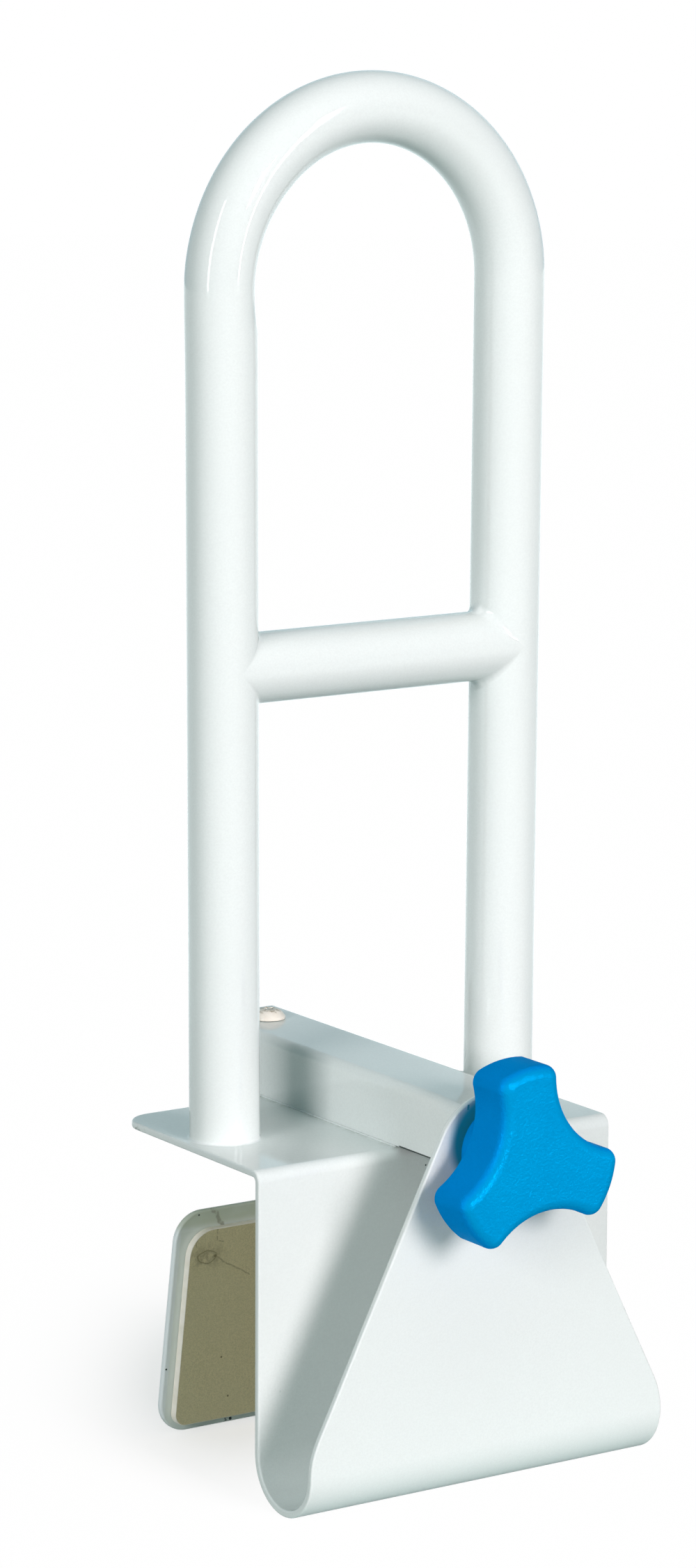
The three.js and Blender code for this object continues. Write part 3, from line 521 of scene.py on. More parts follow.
def sheet(outline, place, thickness=SHEET, edge=0.6, holes=(), cuts=(), edge_steps=4, edge_material=0):
    """A plate of an outline drawn flat, with rounded edges. place(x, y, height) bends it into the frame."""
    if sum(a[0] * b[1] - a[1] * b[0] for a, b in zip(outline, outline[1:] + outline[:1])) < 0:
        outline = outline[::-1]
    loops = [spread(outline, -edge)] + [spread(hole, edge) for hole in holes]
    flat = flat_fill(loops, cuts)
    rims = boundary_loops(flat)
    bm = bmesh.new()
    half = thickness / 2
    upper, lower = {}, {}
    for v in flat.verts:
        upper[v] = bm.verts.new(place(v.co.x, v.co.y, half))
        lower[v] = bm.verts.new(place(v.co.x, v.co.y, -half))
    for face in flat.faces:
        bm.faces.new([upper[v] for v in face.verts])
        bm.faces.new([lower[v] for v in reversed(face.verts)])
    turns = [math.pi / 2 * k / edge_steps for k in range(edge_steps + 1)]
    section = [(edge * math.sin(t), half - edge + edge * math.cos(t)) for t in turns]
    section += [(out, -height) for out, height in reversed(section)]
    for rim in rims:
        points = [(v.co.x, v.co.y) for v in rim]
        outer = spread(points, 1.0)
        columns = []
        for v, point, far in zip(rim, points, outer):
            column = [upper[v]]
            for out, height in section[1:-1]:
                x, y = (p + (q - p) * out for p, q in zip(point, far))
                column.append(bm.verts.new(place(x, y, height)))
            columns.append(column + [lower[v]])
        for one, two in zip(columns, columns[1:] + columns[:1]):
            for k in range(len(one) - 1):
                face = bm.faces.new((one[k], two[k], two[k + 1], one[k + 1]))
                face.material_index = edge_material
    flat.free()
    return bm


def rings_mesh(rings, closed_along=False, caps=True):
    """Joins rings of points, each as long as the others, into a skin."""
    bm = bmesh.new()
    rows = [[bm.verts.new(p) for p in ring] for ring in rings]
    pairs = list(zip(rows, rows[1:] + rows[:1])) if closed_along else list(zip(rows, rows[1:]))
    for one, two in pairs:
        for i in range(len(one)):
            j = (i + 1) % len(one)
            bm.faces.new((one[i], one[j], two[j], two[i]))
    if caps and not closed_along:
        bm.faces.new(rows[0][::-1])
        bm.faces.new(rows[-1])
    return bm


def on_screw(x, z, y):
    return at(x, y, z + SCREW_AXIS)


def lathe(profile, place, sides=64, closed=False):
    """Turns a profile of (radius, distance along the axis); place(x, y, along) puts it in the frame."""
    rings = []
    for radius, along in profile:
        radius = max(radius, 0.004)
        rings.append([place(radius * math.cos(t), radius * math.sin(t), along) for t in around(sides)])
    return rings_mesh(rings, closed_along=closed)


def wobble(x, y, z, size, seed):
    return noise.noise(Vector((x / size + 13.7 * seed, y / size, z / size)))


# Loop, rung and their welds
ARC_END = LOOP_CENTRE - LOOP_RADIUS * math.sin(SPLAY)
DENT_DEPTH, DENT_LOW, DENT_HIGH = 1.35, 293.0, 352.0
BULGE, BULGE_LEVEL = 0.35, 306.0
TUBE_SIDES, WELD_STEPS = 72, 144


def leg_x(level):
    return LOOP_RADIUS * math.cos(SPLAY) - math.tan(SPLAY) * (ARC_END - level)


def dent(x, z, inward):
    """How far the tube is pressed in where the left leg meets its bend; on the far side it stands out."""
    if x > 0:
        return 0.0
    if inward > 0:
        rise = unit((z - DENT_LOW) / 12)
        fall = unit((DENT_HIGH - z) / 40)
        return DENT_DEPTH * (3 * rise**2 - 2 * rise**3) * fall * inward**1.5
    return -BULGE * math.exp(-(((z - BULGE_LEVEL) / 16) ** 2)) * inward**2


def loop_skin():
    arc_steps, leg_steps = 120, 40
    levels = [FOOT + (ARC_END - FOOT) * i / leg_steps for i in range(leg_steps)]
    line = [(-leg_x(level), level, SPLAY) for level in levels]
    for i in range(arc_steps + 1):
        lean = SPLAY - (math.pi + 2 * SPLAY) * i / arc_steps
        angle = math.pi + lean
        line.append((LOOP_RADIUS * math.cos(angle), LOOP_CENTRE + LOOP_RADIUS * math.sin(angle), lean))
    line += [(leg_x(level), level, -math.pi - SPLAY) for level in reversed(levels)]
    rings = []
    for x, z, lean in line:
        outward = Vector((-math.cos(lean), 0, -math.sin(lean)))
        ring = []
        for turn in around(TUBE_SIDES):
            radius = TUBE - dent(x, z, -math.cos(turn))
            off = outward * math.cos(turn) + Vector((0, 1, 0)) * math.sin(turn)
            ring.append((Vector((x, 0, z)) + off * radius) * MM)
        rings.append(ring)
    return rings_mesh(rings)


def fillet(path, seed, rough, steps=10):
    """A closed, hollow-faced weld round a path of (corner, direction along one face, direction along the
    other, size along each)."""
    rings = []
    for corner, one, other, size in path:
        size *= 1 + rough * wobble(*corner, 3.2, seed) + 0.5 * rough * wobble(*corner, 1.2, seed + 5)
        ring = [corner - (one + other) * 0.5]
        for k in range(steps + 1):
            share = k / steps
            ring.append(corner + (one * (1 - share) ** 2 + other * share**2) * size)
        rings.append([p * MM for p in ring])
    return rings_mesh(rings, closed_along=True)


def foot_weld(side):
    path = []
    for t in around(WELD_STEPS):
        out = Vector((math.cos(t), math.sin(t), 0))
        corner = Vector((side * leg_x(FOOT), 0, PLATE_TOP + 0.02)) + out * TUBE
        path.append((corner, Vector((0, 0, 1)), out, 1.1))
    return fillet(path, 3 + side, 0.16)


def rung_weld(side, size, rough):
    """The weld is widest above and below the rung, and sinks into it at its front and rear."""
    reach = leg_x(RUNG_LEVEL)
    path = []
    for t in around(WELD_STEPS, 0.5):
        y, z = TUBE * math.cos(t), TUBE * math.sin(t)
        sunk = 1 - 0.03 * (1 - abs(math.sin(t))) ** 12
        corner = Vector((side * (reach - math.sqrt(TUBE**2 - y**2)), y * sunk, RUNG_LEVEL + z))
        rise = Vector((0, 0, math.copysign(1, z)))
        path.append((corner, Vector((-side, 0, 0)), rise, size * abs(math.sin(t)) ** 0.6 + 0.05))
    return fillet(path, 7 + side, rough)


def rung_skin():
    steps, past_leg = 12, 0.8
    rows = []
    for i in range(steps + 1):
        share = 2 * i / steps - 1
        ring = []
        for turn in around(TUBE_SIDES):
            y, z = TUBE * math.cos(turn), TUBE * math.sin(turn)
            reach = leg_x(RUNG_LEVEL + z) - math.sqrt(max(0.0, TUBE**2 - y**2)) + past_leg
            ring.append(at(share * reach, y, RUNG_LEVEL + z))
        rows.append(ring)
    return rings_mesh(rows, caps=False)


# Bracket and channel
def across_x(line):
    """Puts an outline drawn across X and along a bent line in Y and Z."""
    def place(x, length, height):
        return at(x, *line.at(length, height))
    return place


def bracket():
    middle = SHEET / 2
    bend_y, bend_z = -(WALL_FRONT - SHEET) + TOP_BEND, PLATE_UNDER - TOP_BEND
    line = BentLine(
        (PLATE_REAR, PLATE_TOP - middle), math.pi,
        (PLATE_REAR - bend_y,), (TOP_BEND + middle, math.pi / 2),
        (bend_z - FOLD_LEVEL,), (FOLD + middle, -math.pi),
        (FLANGE_TOP - FOLD_LEVEL,),
    )
    top = line.length
    taper, centre = top - (FLANGE_TOP - FOLD_LEVEL) + TAPER_RISE, top - FLANGE_TOP_RADIUS
    reach = math.hypot(HALF_WIDTH, taper - centre)
    tangent = math.atan2(taper - centre, HALF_WIDTH) + math.acos(FLANGE_TOP_RADIUS / reach)
    crown = arc(0, centre, FLANGE_TOP_RADIUS, tangent, math.pi - tangent, math.pi / 60)
    notch_half = CHANNEL_HALF - CHANNEL_WALL + GAP
    notch = PLATE_REAR - NOTCH_END
    outline = rounded([
        (-HALF_WIDTH, 0, PLATE_CORNER), (-notch_half, 0, 0.8), (-notch_half, notch, 0.8),
        (notch_half, notch, 0.8), (notch_half, 0, 0.8), (HALF_WIDTH, 0, PLATE_CORNER_RIGHT),
        (HALF_WIDTH, taper, TAPER_CORNER), *crown, (-HALF_WIDTH, taper, TAPER_CORNER),
    ])
    hole = circle(0, top - (FLANGE_TOP - SCREW_AXIS), BUSH_SLEEVE + GAP)
    return sheet(outline, across_x(line), SHEET, 0.75, [hole[::-1]], line.cuts, 5)


def channel(half, low, high, wall, corner, front, rear, hole):
    """An inverted channel; hole(middle) is cut in its top, where middle is the top's centre line."""
    middle = wall / 2
    turn_radius = corner - middle
    rise, across = high - corner - low, 2 * (half - corner)
    line = BentLine(
        (-half + middle, low), math.pi / 2,
        (rise,), (turn_radius, -math.pi / 2), (across,), (turn_radius, -math.pi / 2), (rise,),
    )
    outline = [(front, 0), (rear, 0), (rear, line.length), (front, line.length)]

    def place(y, length, height):
        x, z = line.at(length, height)
        return at(x, y, z)

    return sheet(outline, place, wall, 0.4, [hole(line.length / 2)[::-1]], line.cuts, 3)


def narrow_front(bm, reach, limit):
    """Draws the channel's front end in, so that its top corners stay inside the flange's round top."""
    start = FLANGE_REAR + reach
    geometry = [*bm.verts, *bm.edges, *bm.faces]
    bmesh.ops.bisect_plane(bm, geom=geometry, plane_co=(0, start * MM, 0), plane_no=(0, 1, 0))
    centre = Vector((0, 0, (FLANGE_TOP - FLANGE_TOP_RADIUS) * MM))
    for v in bm.verts:
        off = Vector((v.co.x, 0, v.co.z)) - centre
        if v.co.y < (start - 0.01) * MM and off.z > 0 and off.length > limit * MM:
            pulled = centre + off.normalized() * limit * MM
            v.co.x, v.co.z = pulled.x, pulled.z


def guide_channel():
    shell = channel(CHANNEL_HALF, FOOT, CHANNEL_TOP, CHANNEL_WALL, CHANNEL_CORNER, FLANGE_REAR - 1.3,
                    CHANNEL_REAR, lambda middle: circle(GUIDE_PLACE, middle, 2.8, 24))
    narrow_front(shell, 12.0, FLANGE_TOP_RADIUS - 1.0)
    return shell


def inner_slide():
    front, rear = GUIDE_PLACE - TRAVEL_OUT - SLOT_HALF, GUIDE_PLACE + TRAVEL_IN + SLOT_HALF

    def slot(middle):
        low, high, round_end = middle - SLOT_HALF, middle + SLOT_HALF, SLOT_HALF - 0.1
        corners = ((rear, low), (front, low), (front, high), (rear, high))
        return rounded([(*corner, round_end) for corner in corners])

    return channel(SLIDE_HALF, SLIDE_LOW, SLIDE_TOP, SLIDE_WALL, SLIDE_CORNER, SLIDE_FRONT, SLIDE_REAR, slot)


def seam(path, size, seed):
    """A painted weld line along a path, tapering at both ends."""
    rings = []
    for i, p in enumerate(path):
        ends = min(1.0, min(i, len(path) - 1 - i) / 3 + 0.15)
        radius = size * ends * (1 + 0.4 * wobble(*p, 3.2, seed) + 0.25 * wobble(*p, 1.2, seed + 6))
        ahead = (path[min(i + 1, len(path) - 1)] - path[max(i - 1, 0)]).normalized()
        across = ahead.orthogonal() if i == 0 else across - ahead * across.dot(ahead)
        across.normalize()
        other = ahead.cross(across)
        rings.append([(p + (across * math.cos(t) + other * math.sin(t)) * radius) * MM for t in around(8)])
    return rings_mesh(rings)


def side_seam(side):
    """Where the channel's side stands on the plate."""
    front, rear, steps = -WALL_FRONT + 3.2, PLATE_REAR - 0.6, 170
    spots = [front + (rear - front) * i / steps for i in range(steps + 1)]
    return seam([Vector((side * (CHANNEL_HALF + 0.05), y, PLATE_TOP + 0.15)) for y in spots], 0.42, 21 + side)


# Knob: three lobes, each with a tip about the axis, two round corners, and a hollow arc to the next one
KNOB_RADIUS, KNOB_HALF, KNOB_WAIST, KNOB_CORNER = 34.6, 12.3, 18.65, 4.9
KNOB_TURN = math.radians(-21.9)
KNOB_EDGE, KNOB_BACK_EDGE = 4.2, 1.4
KNOB_FACE_WALL, POCKET_WALL, POCKET_DEPTH = 5, 4.4, 12.5
BOSS = 16
INSERT = 8.0
BORE, BUSH_SLEEVE, BUSH_FLANGE, BUSH_THICKNESS = 5.3, 6.5, 11, 2
COLLAR, COLLAR_LENGTH = 8.0, 6
BUSH_REAR = FLANGE_FRONT - GAP
BUSH_END = FLANGE_REAR + 0.6
BOSS_REAR = BUSH_REAR - BUSH_THICKNESS - GAP
LOBES_REAR = BOSS_REAR - 6.6
KNOB_FACE = LOBES_REAR - 19.4


def turned(vector, angle):
    vector = vector.copy()
    vector.rotate(Matrix.Rotation(angle, 2))
    return vector


def knob_outline(inset):
    tip, corner, waist = KNOB_RADIUS - inset, KNOB_CORNER - inset, KNOB_WAIST - inset
    half_turn = math.asin((KNOB_HALF - KNOB_CORNER) / (KNOB_RADIUS - KNOB_CORNER))
    third = math.tau / 3
    centre = Vector((math.cos(half_turn), math.sin(half_turn))) * (tip - corner)
    between = Vector((math.cos(third / 2), math.sin(third / 2)))
    along = between.dot(centre)
    spare = waist**2 - 2 * waist * along + centre.length_squared - corner**2
    hollow = spare / (2 * (corner + along - waist))
    dip = between * (waist + hollow)
    toward = dip - centre
    contact = math.atan2(toward.y, toward.x)
    sweep = contact - third / 2
    points = []
    for lobe in range(3):
        turn = KNOB_TURN + lobe * third
        back = turn + third / 2 + math.pi
        for middle, radius, a, b, count in (
            (Vector((centre.x, -centre.y)), corner, turn - contact, turn - half_turn, 12),
            (Vector((0, 0)), tip, turn - half_turn, turn + half_turn, 8),
            (centre, corner, turn + half_turn, turn + contact, 12),
            (dip, hollow, back + sweep, back - sweep, 22),
        ):
            points += arc(*turned(middle, turn), radius, a, b, abs(b - a) / count * 1.0001)[:-1]
    return points


def knob_body():
    quarter = math.pi / 2
    levels = []
    for turn in (quarter * k / 10 for k in range(11)):
        levels.append((KNOB_EDGE * (1 - math.sin(turn)), KNOB_FACE + KNOB_EDGE * (1 - math.cos(turn))))
    for turn in (quarter * k / 6 for k in range(1, 7)):
        rear = LOBES_REAR - KNOB_BACK_EDGE * (1 - math.sin(turn))
        levels.append((KNOB_BACK_EDGE * (1 - math.cos(turn)), rear))
    return rings_mesh([[on_screw(x, z, y) for x, z in knob_outline(inset)] for inset, y in levels])


def pocket(lobe):
    """The hollow at the back of a lobe, between its walls and the boss."""
    turn, clear = KNOB_TURN + lobe * math.tau / 3, BOSS + 0.2
    outline = []
    for x, z in knob_outline(POCKET_WALL):
        away = math.atan2(z, x) - turn
        away = (away + math.pi) % (math.tau) - math.pi
        if abs(away) < math.pi / 3 and math.hypot(x, z) > clear:
            outline.append((away, x, z))
    outline.sort()
    first, last = outline[0][0], outline[-1][0]
    inner = [(clear * math.cos(turn + a), clear * math.sin(turn + a))
             for a in (last + (first - last) * i / 16 for i in range(1, 16))]
    ring = [(x, z) for _, x, z in outline] + inner
    ends = LOBES_REAR - POCKET_DEPTH, LOBES_REAR + 1
    return rings_mesh([[on_screw(x, z, y) for x, z in ring] for y in ends])


def temporary(bm):
    bmesh.ops.recalc_face_normals(bm, faces=bm.faces)
    return add_object("cutter", bm)


def carved(base, adds=(), cuts=()):
    """A mesh with others joined to it or cut from it."""
    piece = temporary(base)
    others = [(temporary(bm), how) for how, many in (("UNION", adds), ("DIFFERENCE", cuts)) for bm in many]
    for other, how in others:
        step = piece.modifiers.new(how, "BOOLEAN")
        step.operation, step.object, step.solver = how, other, "EXACT"
    graph = bpy.context.evaluated_depsgraph_get()
    result = bmesh.new()
    result.from_mesh(piece.evaluated_get(graph).to_mesh())
    for thing in [piece] + [other for other, _ in others]:
        bpy.data.objects.remove(thing)
    return result


def knob():
    boss_front, bore_front = LOBES_REAR - 4, KNOB_FACE + KNOB_FACE_WALL
    corners = [(0, boss_front), (BOSS, boss_front), (BOSS, BOSS_REAR, 0.9), (0, BOSS_REAR)]
    boss = rounded(corners, math.pi / 10, False)
    bore = [(0, bore_front), (INSERT, bore_front), (INSERT, BOSS_REAR + 1), (0, BOSS_REAR + 1)]
    cuts = [*(pocket(k) for k in range(3)), lathe(bore, on_screw, 48)]
    return carved(knob_body(), [lathe(boss, on_screw)], cuts)


def screw_head():
    """A domed head with a low rim and a cross recess."""
    base, height, rim, radius = HEAD_BASE, 3.6, 1.15, 6.25
    shoulder = radius - 0.35
    profile = [(0, base), (radius - 0.3, base), (radius, base + 0.25), (radius, base + 0.75),
               (shoulder, base + rim)]
    for share in (k / 8 for k in range(1, 9)):
        rise = (height - rim) * math.sin(share * math.pi / 2) ** 0.9
        profile.append((shoulder - 3.5 * share**1.15, base + rim + rise))
    profile += [(1.6, base + height + 0.02), (0, base + height + 0.02)]

    def place(x, y, z):
        return at(x, GUIDE_PLACE + y, z)

    slots = []
    for long_x, long_y in ((2.3, 0.45), (0.45, 2.3)):
        corners = [(-long_x, -long_y), (long_x, -long_y), (long_x, long_y), (-long_x, long_y)]
        slots.append(rings_mesh([[place(x * s, y * s, z) for x, y in corners]
                                 for s, z in ((0.55, base + height - 1.5), (1.15, base + height + 0.5))]))
    return carved(lathe(profile, place, 56), [], slots)


def lead_screw():
    """A single-start thread of 3 mm pitch, with plain ends inside the knob and at the rear."""
    front, rear, pitch, radius, depth = KNOB_FACE + KNOB_FACE_WALL + GAP, 50.0, 3.0, 5.0, 1.5
    sides, step, thread_front = 32, 0.25, -70
    rows, y = [], front
    while y <= rear + 1e-6:
        row = []
        for k, turn in enumerate(around(sides)):
            phase = ((y - front) / pitch + k / sides) % 1.0
            groove = unit((abs(phase - 0.5) * 2 - 0.42) / 0.22)
            fade = min(unit((y - thread_front) / 3), unit((rear - 1.5 - y) / 2))
            chamfer = min(1.0, 0.76 + min(y - front, rear - y) / 5)
            reach = (radius - depth * groove * fade) * chamfer
            row.append(on_screw(math.cos(turn) * reach, math.sin(turn) * reach, y))
        rows.append(row)
        y += step
    return rings_mesh(rows)


def rivet_tail(share):
    """The tail behind the arm, at a share of the stretch that the arm and the jaw plate have in common."""
    base, radius, height = ARM_FRONT + ARM + GAP, 5.4, 2.2
    level = JAW_TOP - share * (JAW_TOP - ARM_LOW)
    dome = [(radius * math.cos(t), base + height * math.sin(t)) for t in around(36)[:10]]
    return lathe([(0, base), *dome], lambda x, z, y: at(x, y, z + level), 40)


def across_y(centre):
    """Puts an outline drawn in X and Z on a plane across Y."""
    return lambda x, z, height: at(x, centre + height, z)


def four_corners(low, high, low_half, high_half, low_corner, high_corner):
    return rounded([(-low_half, low, low_corner), (low_half, low, low_corner),
                    (high_half, high, high_corner), (-high_half, high, high_corner)])


def jaw_half(level):
    share = (JAW_TOP - level) / (JAW_TOP - LOWEST)
    return JAW_TOP_HALF + (JAW_LOW_HALF - JAW_TOP_HALF) * share


# Marks: on the jaw and its pad as (x, z), on the bracket as (x, y, z), each with a radius at its end
BRACKET_CHIPS = [
    (-76.2, 34.6, 3.1, 0.4), (-76.0, 32.4, 3.0, 0.3),
    (-10.8, -82.2, 27.4, 0.42), (-10.9, -82.2, 26.8, 0.46),
    (-11.0, -82.2, 26.2, 0.4), (-5.3, -48.1, -2.4, 0.35),
]
RING_MARK, RING_SIZE = (-45.5, -50.2), (4.0, 2.35)
PAD_LINES = [
    ((-39.0, -38.0), (-40.9, -40.3), 0.45), ((-40.9, -40.3), (-40.9, -44.8), 0.4),
    ((-40.9, -44.8), (-38.4, -45.2), 0.35), ((-41.7, -50.3), (-38.0, -53.0), 0.45),
    ((-38.0, -53.0), (-32.5, -56.3), 0.4), ((-32.5, -56.3), (-27.0, -59.5), 0.35),
    ((-48.5, -41.5), (-50.0, -44.2), 0.35), ((-50.0, -44.2), (-50.1, -46.9), 0.35),
]
PAD_SPECKS = [(-39.2, -89.4, 0.4), (-36.4, -104.8, 0.4), (-41.9, -50.2, 0.6)]
JAW_DIRT = [
    ((-40.7, -33.7), (-38.8, -34.9)), ((-38.8, -34.9), (-38.0, -38.4)), ((-38.0, -38.4), (-36.4, -39.7)),
]
JAW_CHIPS = [(-35.2, -114.7, 0.9), (-33.1, -115.0, 0.7), (-61.0, -91.5, 0.35), (-46.7, -34.8, 0.35)]


# The pieces
JAW, WHITE = "jaw_carriage", "white_paint"


def build_frame(paint):
    make("loop_tube", loop_skin(), [paint], "frame", ["handle_loop"], weighted=False, sharp=50)
    make("rung_tube", rung_skin(), [paint], "frame", ["cross_rung"])
    for side, word, size, rough in ((-1, "left", 1.3, 0.3), (1, "right", 3.2, 0.5)):
        for kind, weld in (("foot", foot_weld(side)), ("rung", rung_weld(side, size, rough))):
            make(f"{kind}_weld_{word}", weld, [paint], "frame", weighted=False, sharp=40)
        make(f"channel_seam_{word}", side_seam(side), [paint], "frame", weighted=False)
    # The bracket's paint has chips worn to the metal and painted shade; the channel's has painted shade on
    # its lower edge
    worn, gap_shaded_paint = white_paint("powder_coat_worn_and_shaded", chipped, painted_shade_marks), white_paint("powder_coat_gap_shaded", painted_gap_shade)
    make("folded_bracket", bracket(), [worn], "frame", ["clamp_bracket"])
    make("channel_shell", guide_channel(), [gap_shaded_paint], "frame", ["guide_channel"])
    make("guide_screw_head", screw_head(), [screw_plastic()], "frame")


def build_slide(paint):
    make("slide_shell", inner_slide(), [paint], JAW, ["inner_slide"])
    white = plain_plastic("white_plastic", (0.74, 0.76, 0.755), (0.70, 0.72, 0.715), 0.38)
    face = four_corners(SLIDE_LOW, SLIDE_TOP, SLIDE_HALF, SLIDE_HALF, 0.8, SLIDE_CORNER)
    cap = sheet(face, across_y(SLIDE_REAR + GAP + 1.2), 2.4, 0.7)
    make("slide_cap", cap, [white], JAW, ["slide_end_cap"])

    bend = 5
    line = BentLine((ARM_REAR, ARM_TOP - ARM / 2), math.pi, (ARM_REAR - ARM_FRONT - bend,),
                    (bend - ARM / 2, math.pi / 2), (ARM_TOP - bend - ARM_LOW,))
    outline = four_corners(0, line.length, ARM_HALF, ARM_HALF, 1, 8)
    strip = sheet(outline, across_x(line), ARM, 0.6, cuts=line.cuts)
    make("arm_strip", strip, [paint], JAW, ["jaw_arm"])
    near, high = ARM_FRONT + ARM + GAP, ARM_TOP - ARM - GAP
    low, far = high - 0.72 * (high - ARM_LOW), near + 0.86 * (ARM_REAR - near)
    outline = [(near, high - 2), (near, low), (near + 3, low), (far, high - 3), (far, high), (near + 2, high)]
    web = sheet(outline, lambda y, z, height: at(height, y, z), ARM, 0.5)
    make("arm_web", web, [paint], JAW, ["arm_gusset"])


def build_jaw_and_pads(steel):
    jaw = sheet(four_corners(LOWEST, JAW_TOP, JAW_LOW_HALF, JAW_TOP_HALF, 11.0, 12.0),
                across_y(JAW_FRONT + SHEET / 2), SHEET, 0.85)
    make("jaw_sheet", jaw, [jaw_paint()], JAW, ["jaw_plate"])
    rubber, marked, cream = pad_rubber(), pad_rubber(True), pad_edge()
    low, high, border = LOWEST + 3, JAW_TOP - 6.6, 4.5
    pad = sheet(four_corners(low, high, jaw_half(low) - border, jaw_half(high) - border, 4.5, 11.0),
                across_y(JAW_FRONT - GAP - PAD / 2), PAD, PAD_EDGE, edge_material=1)
    make("jaw_rubber", pad, [marked, cream], JAW, ["jaw_pad"])
    side = HALF_WIDTH - 8
    pad = sheet(four_corners(FOLD_LEVEL, PLATE_UNDER - 10, side, side, 6.0, 6.0),
                across_y(-WALL_FRONT + SHEET + GAP + PAD / 2), PAD, PAD_EDGE, edge_material=1)
    make("wall_rubber", pad, [rubber, cream], "frame", ["fixed_pad"])
    side = HALF_WIDTH - 10
    pad = sheet(four_corners(-WALL_FRONT + 8, 22.0, side, side, 6.0, 6.0),
                lambda x, y, height: at(x, y, 1.0 + height), 2.0, 0.3, edge_material=1)
    make("rim_rubber", pad, [rubber, cream], "frame", ["rim_pad"])
    for word, share in (("upper", 0.24), ("lower", 0.8)):
        tail = rivet_tail(share)
        make(f"rivet_tail_{word}", tail, [steel], JAW, [f"arm_rivet_{word}"])


def build_knob(steel, black):
    make("knob_lobes", knob(), [knob_plastic()], "knob_drive", ["knob"], sharp=38)
    drawn = zinc("zinc_turned", (1.0, 6.0, 1.0))
    make("threaded_rod", lead_screw(), [drawn], "knob_drive", ["lead_screw"], weighted=False)
    front = BUSH_END + GAP
    rear = front + COLLAR_LENGTH
    corners = (BORE, front), (COLLAR, front), (COLLAR, rear), (BORE, rear)
    collar = lathe(rounded([(*corner, 0.5) for corner in corners], math.pi / 8), on_screw, 64, True)
    make("stop_collar", collar, [steel], "knob_drive", ["retaining_collar"])
    front = BUSH_REAR - BUSH_THICKNESS
    corners = [(BORE, front, 0.3), (BUSH_FLANGE, front, 0.5), (BUSH_FLANGE, BUSH_REAR, 0.3),
               (BUSH_SLEEVE, BUSH_REAR), (BUSH_SLEEVE, BUSH_END, 0.3), (BORE, BUSH_END, 0.3)]
    bush = lathe(rounded(corners, math.pi / 8), on_screw, 64, True)
    make("flanged_bush", bush, [black], "frame", ["screw_bush"])


def build():
    paint, steel = white_paint("powder_coat"), zinc("zinc_plate")
    black = plain_plastic("black_plastic", (0.012, 0.014, 0.016), (0.02, 0.022, 0.025), 0.42)
    build_frame(paint)
    build_slide(paint)
    build_jaw_and_pads(steel)
    build_knob(steel, black)
    finishes = {"guide_screw": screw_plastic(), "guide_nut": steel, "glide_pad": black, "knob_insert": steel,
                "collar_pin": steel, "travel_nut": steel}
    for name, material in finishes.items():
        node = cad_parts[name]
        node.data.materials.clear()
        node.data.materials.append(material)


# Floor, world and lamps
def set_floor():
    """White where the camera looks, with a soft shadow that fades out from its middle. The light that it
    throws back, and what is mirrored of it, depend on how near to the object it is."""
    n = Nodes("floor")
    x, y, _ = n.axes()
    # The shadow's middle and reach in millimetres, across and along the way that it falls
    across = n.math("ADD", n.times(x, -0.832), n.times(y, 0.555))
    along = n.math("ADD", n.times(x, 0.555), n.times(y, 0.832))
    parts = [n.math("POWER", n.math("DIVIDE", n.minus(value, middle * MM), reach * MM), 2)
             for value, middle, reach in ((across, 51, 40.0), (along, 70, 100.0))]
    fade = n.math("EXPONENT", n.times(n.math("ADD", *parts), -1))
    in_shadow = n.math("MINIMUM", n.times(fade, 1.7), 1)
    away = n.reach(x, n.math("ADD", y, 0.06))
    grain = n.patches(900, 2, 1, 0.3, 0.7, 0.995, 1.0)
    far_lit = n.mix(n.ramp(away, 0.07, 0.20), (0.42, 0.58, 0.55), (0.24, 0.37, 0.345))
    lit = n.add("BsdfDiffuse", {"Color": far_lit})
    seen_in_paint = n.ramp(away, 0.2, 1.0, 0.4, 1.35)
    mirrored = n.add("Emission", {"Color": (0.86, 0.98, 1.0, 1), "Strength": seen_in_paint})
    shown_diffuse = n.add("BsdfDiffuse", {"Color": (0.72, 0.70, 0.70, 1)})
    base_glow = n.add("Emission", {"Color": (1, 1, 1, 1), "Strength": 0.57})
    plain_glow = n.add("Emission", {"Color": (1, 1, 1, 1), "Strength": grain})
    shadow = n.add("AddShader", {0: shown_diffuse.outputs[0], 1: base_glow.outputs[0]})
    shown = n.add("MixShader", {0: in_shadow, 1: plain_glow.outputs[0], 2: shadow.outputs[0]})
    looks = [("Is Glossy Ray", mirrored.outputs[0])]
    looks += [(ray, shown.outputs[0]) for ray in ("Is Transmission Ray", "Is Camera Ray")]
    n.by_ray(lit.outputs[0], looks, "OutputMaterial")
    bm = bmesh.new()
    bmesh.ops.create_circle(bm, cap_ends=True, radius=6.0, segments=96)
    floor = add_object("floor", bm)
    floor.data.materials.append(n.owner)
    floor.location.z = (LOWEST - 0.05) * MM


# What the world shows: the ray that asks, colour and strength; the first is for every other ray
WORLD = (
    (None, (0.45, 1.0, 0.88, 1), 0.055),
    ("Is Glossy Ray", (0.64, 0.90, 1.0, 1), 0.75),
    ("Is Transmission Ray", (1, 1, 1, 1), 1.0),
    ("Is Camera Ray", (1, 1, 1, 1), 1.0),
)


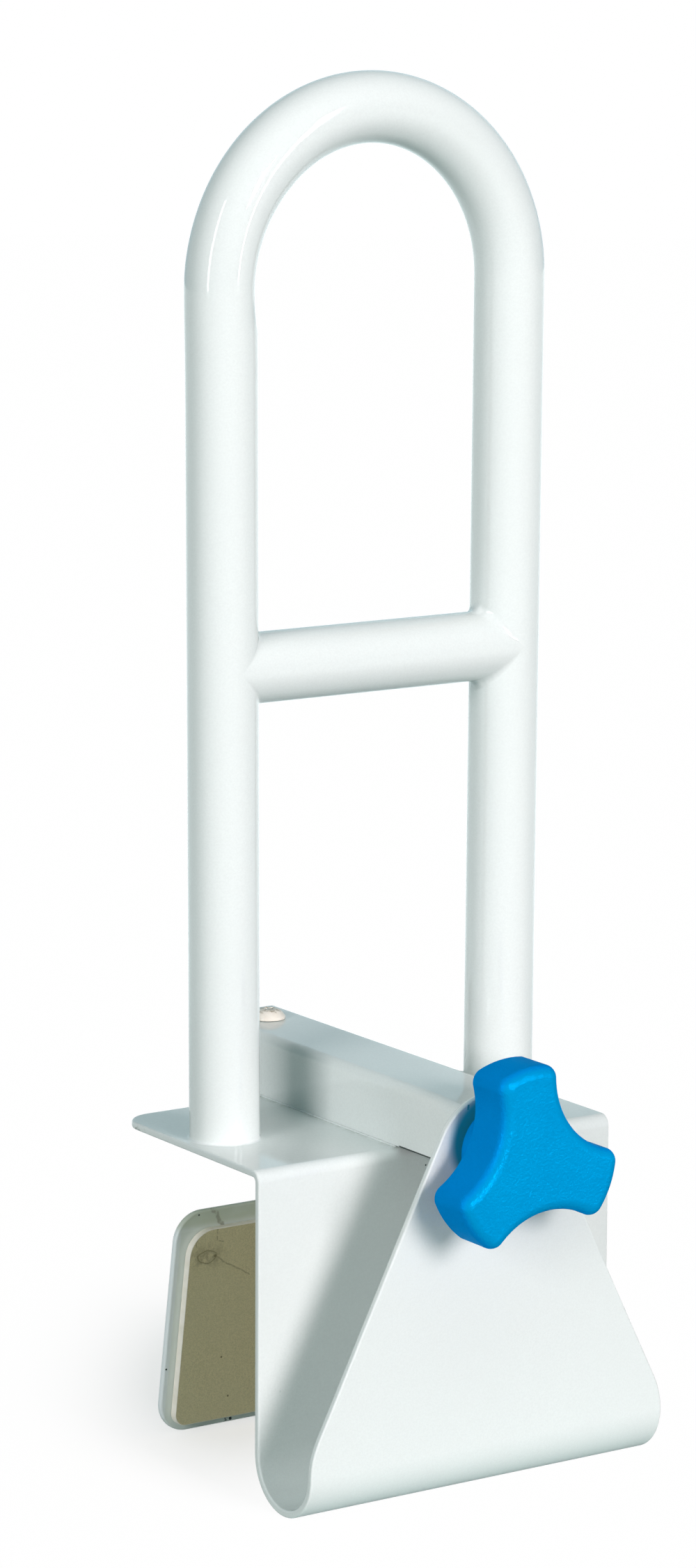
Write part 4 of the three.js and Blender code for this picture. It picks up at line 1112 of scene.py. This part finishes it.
def set_world():
    n = Nodes("world", True)
    looks = [(ray, n.add("Background", {0: colour, 1: strength}).outputs[0])
             for ray, colour, strength in WORLD]
    n.by_ray(looks[0][1], looks[1:], "OutputWorld")
    bpy.context.scene.world = n.owner


# Soft boxes: azimuth (0 on the -Y side, -90 on the -X side) and elevation in degrees, level (what a white
# face turned to it shows), width and height in metres, colour, and if it is only mirrored or only lights
LAMP_DISTANCE, LAMP_AIM = 8.0, (0, 0, 0.12)
LAMPS = (
    ("key", 8.2, 15.5, 0.835, 2.7, 3.2, (1.0, 0.902, 0.922), False),
    ("left", -66, 16, 0.54, 3.0, 3.6, (1.0, 0.95, 0.96), False),
    ("right_fill", 66, 12, 0.035, 5.0, 5.0, (1.0, 0.97, 0.98), False),
    ("left_gleam", -71, 14.5, 0.24, 0.84, 6.3, (0.95, 1, 1), True),
    ("front_gleam", 24, 10, 0.30, 0.7, 4.2, (0.95, 1, 1), True),
    ("foot_gleam", 4.5, 16, 0.34, 1.1, 1.2, (1, 1, 1), True),
    ("far_gleam", 146, 14, 0.015, 6.5, 3.0, (0.85, 1, 1), True),
    ("top", 0, 78, 0.16, 5.0, 5.0, (0.86, 1, 1), False),
    ("rear_fill", 175, 15, 0.08, 6.4, 4.8, (1, 1, 1), False),
)


def add_lamp(name, azimuth, elevation, level, width, height, colour, mirrored):
    a, e = math.radians(azimuth), math.radians(elevation)
    back = Vector((math.sin(a) * math.cos(e), -math.cos(a) * math.cos(e), math.sin(e)))
    data = bpy.data.lights.new(name, "AREA")
    data.shape, data.size, data.size_y = "RECTANGLE", width, height
    data.energy = level * math.pi**2 * LAMP_DISTANCE**2
    data.color = colour
    lamp = bpy.data.objects.new(name, data)
    lamp.location = Vector(LAMP_AIM) + back * LAMP_DISTANCE
    lamp.rotation_mode = "QUATERNION"
    lamp.rotation_quaternion = back.to_track_quat("Z", "Y")
    lamp.visible_camera = False
    lamp.visible_glossy = mirrored
    lamp.visible_diffuse = not mirrored
    bpy.context.scene.collection.objects.link(lamp)


set_camera()
build()
set_floor()
set_world()
for lamp in LAMPS:
    add_lamp(*lamp)
bpy.context.scene.view_settings.view_transform = "Standard"
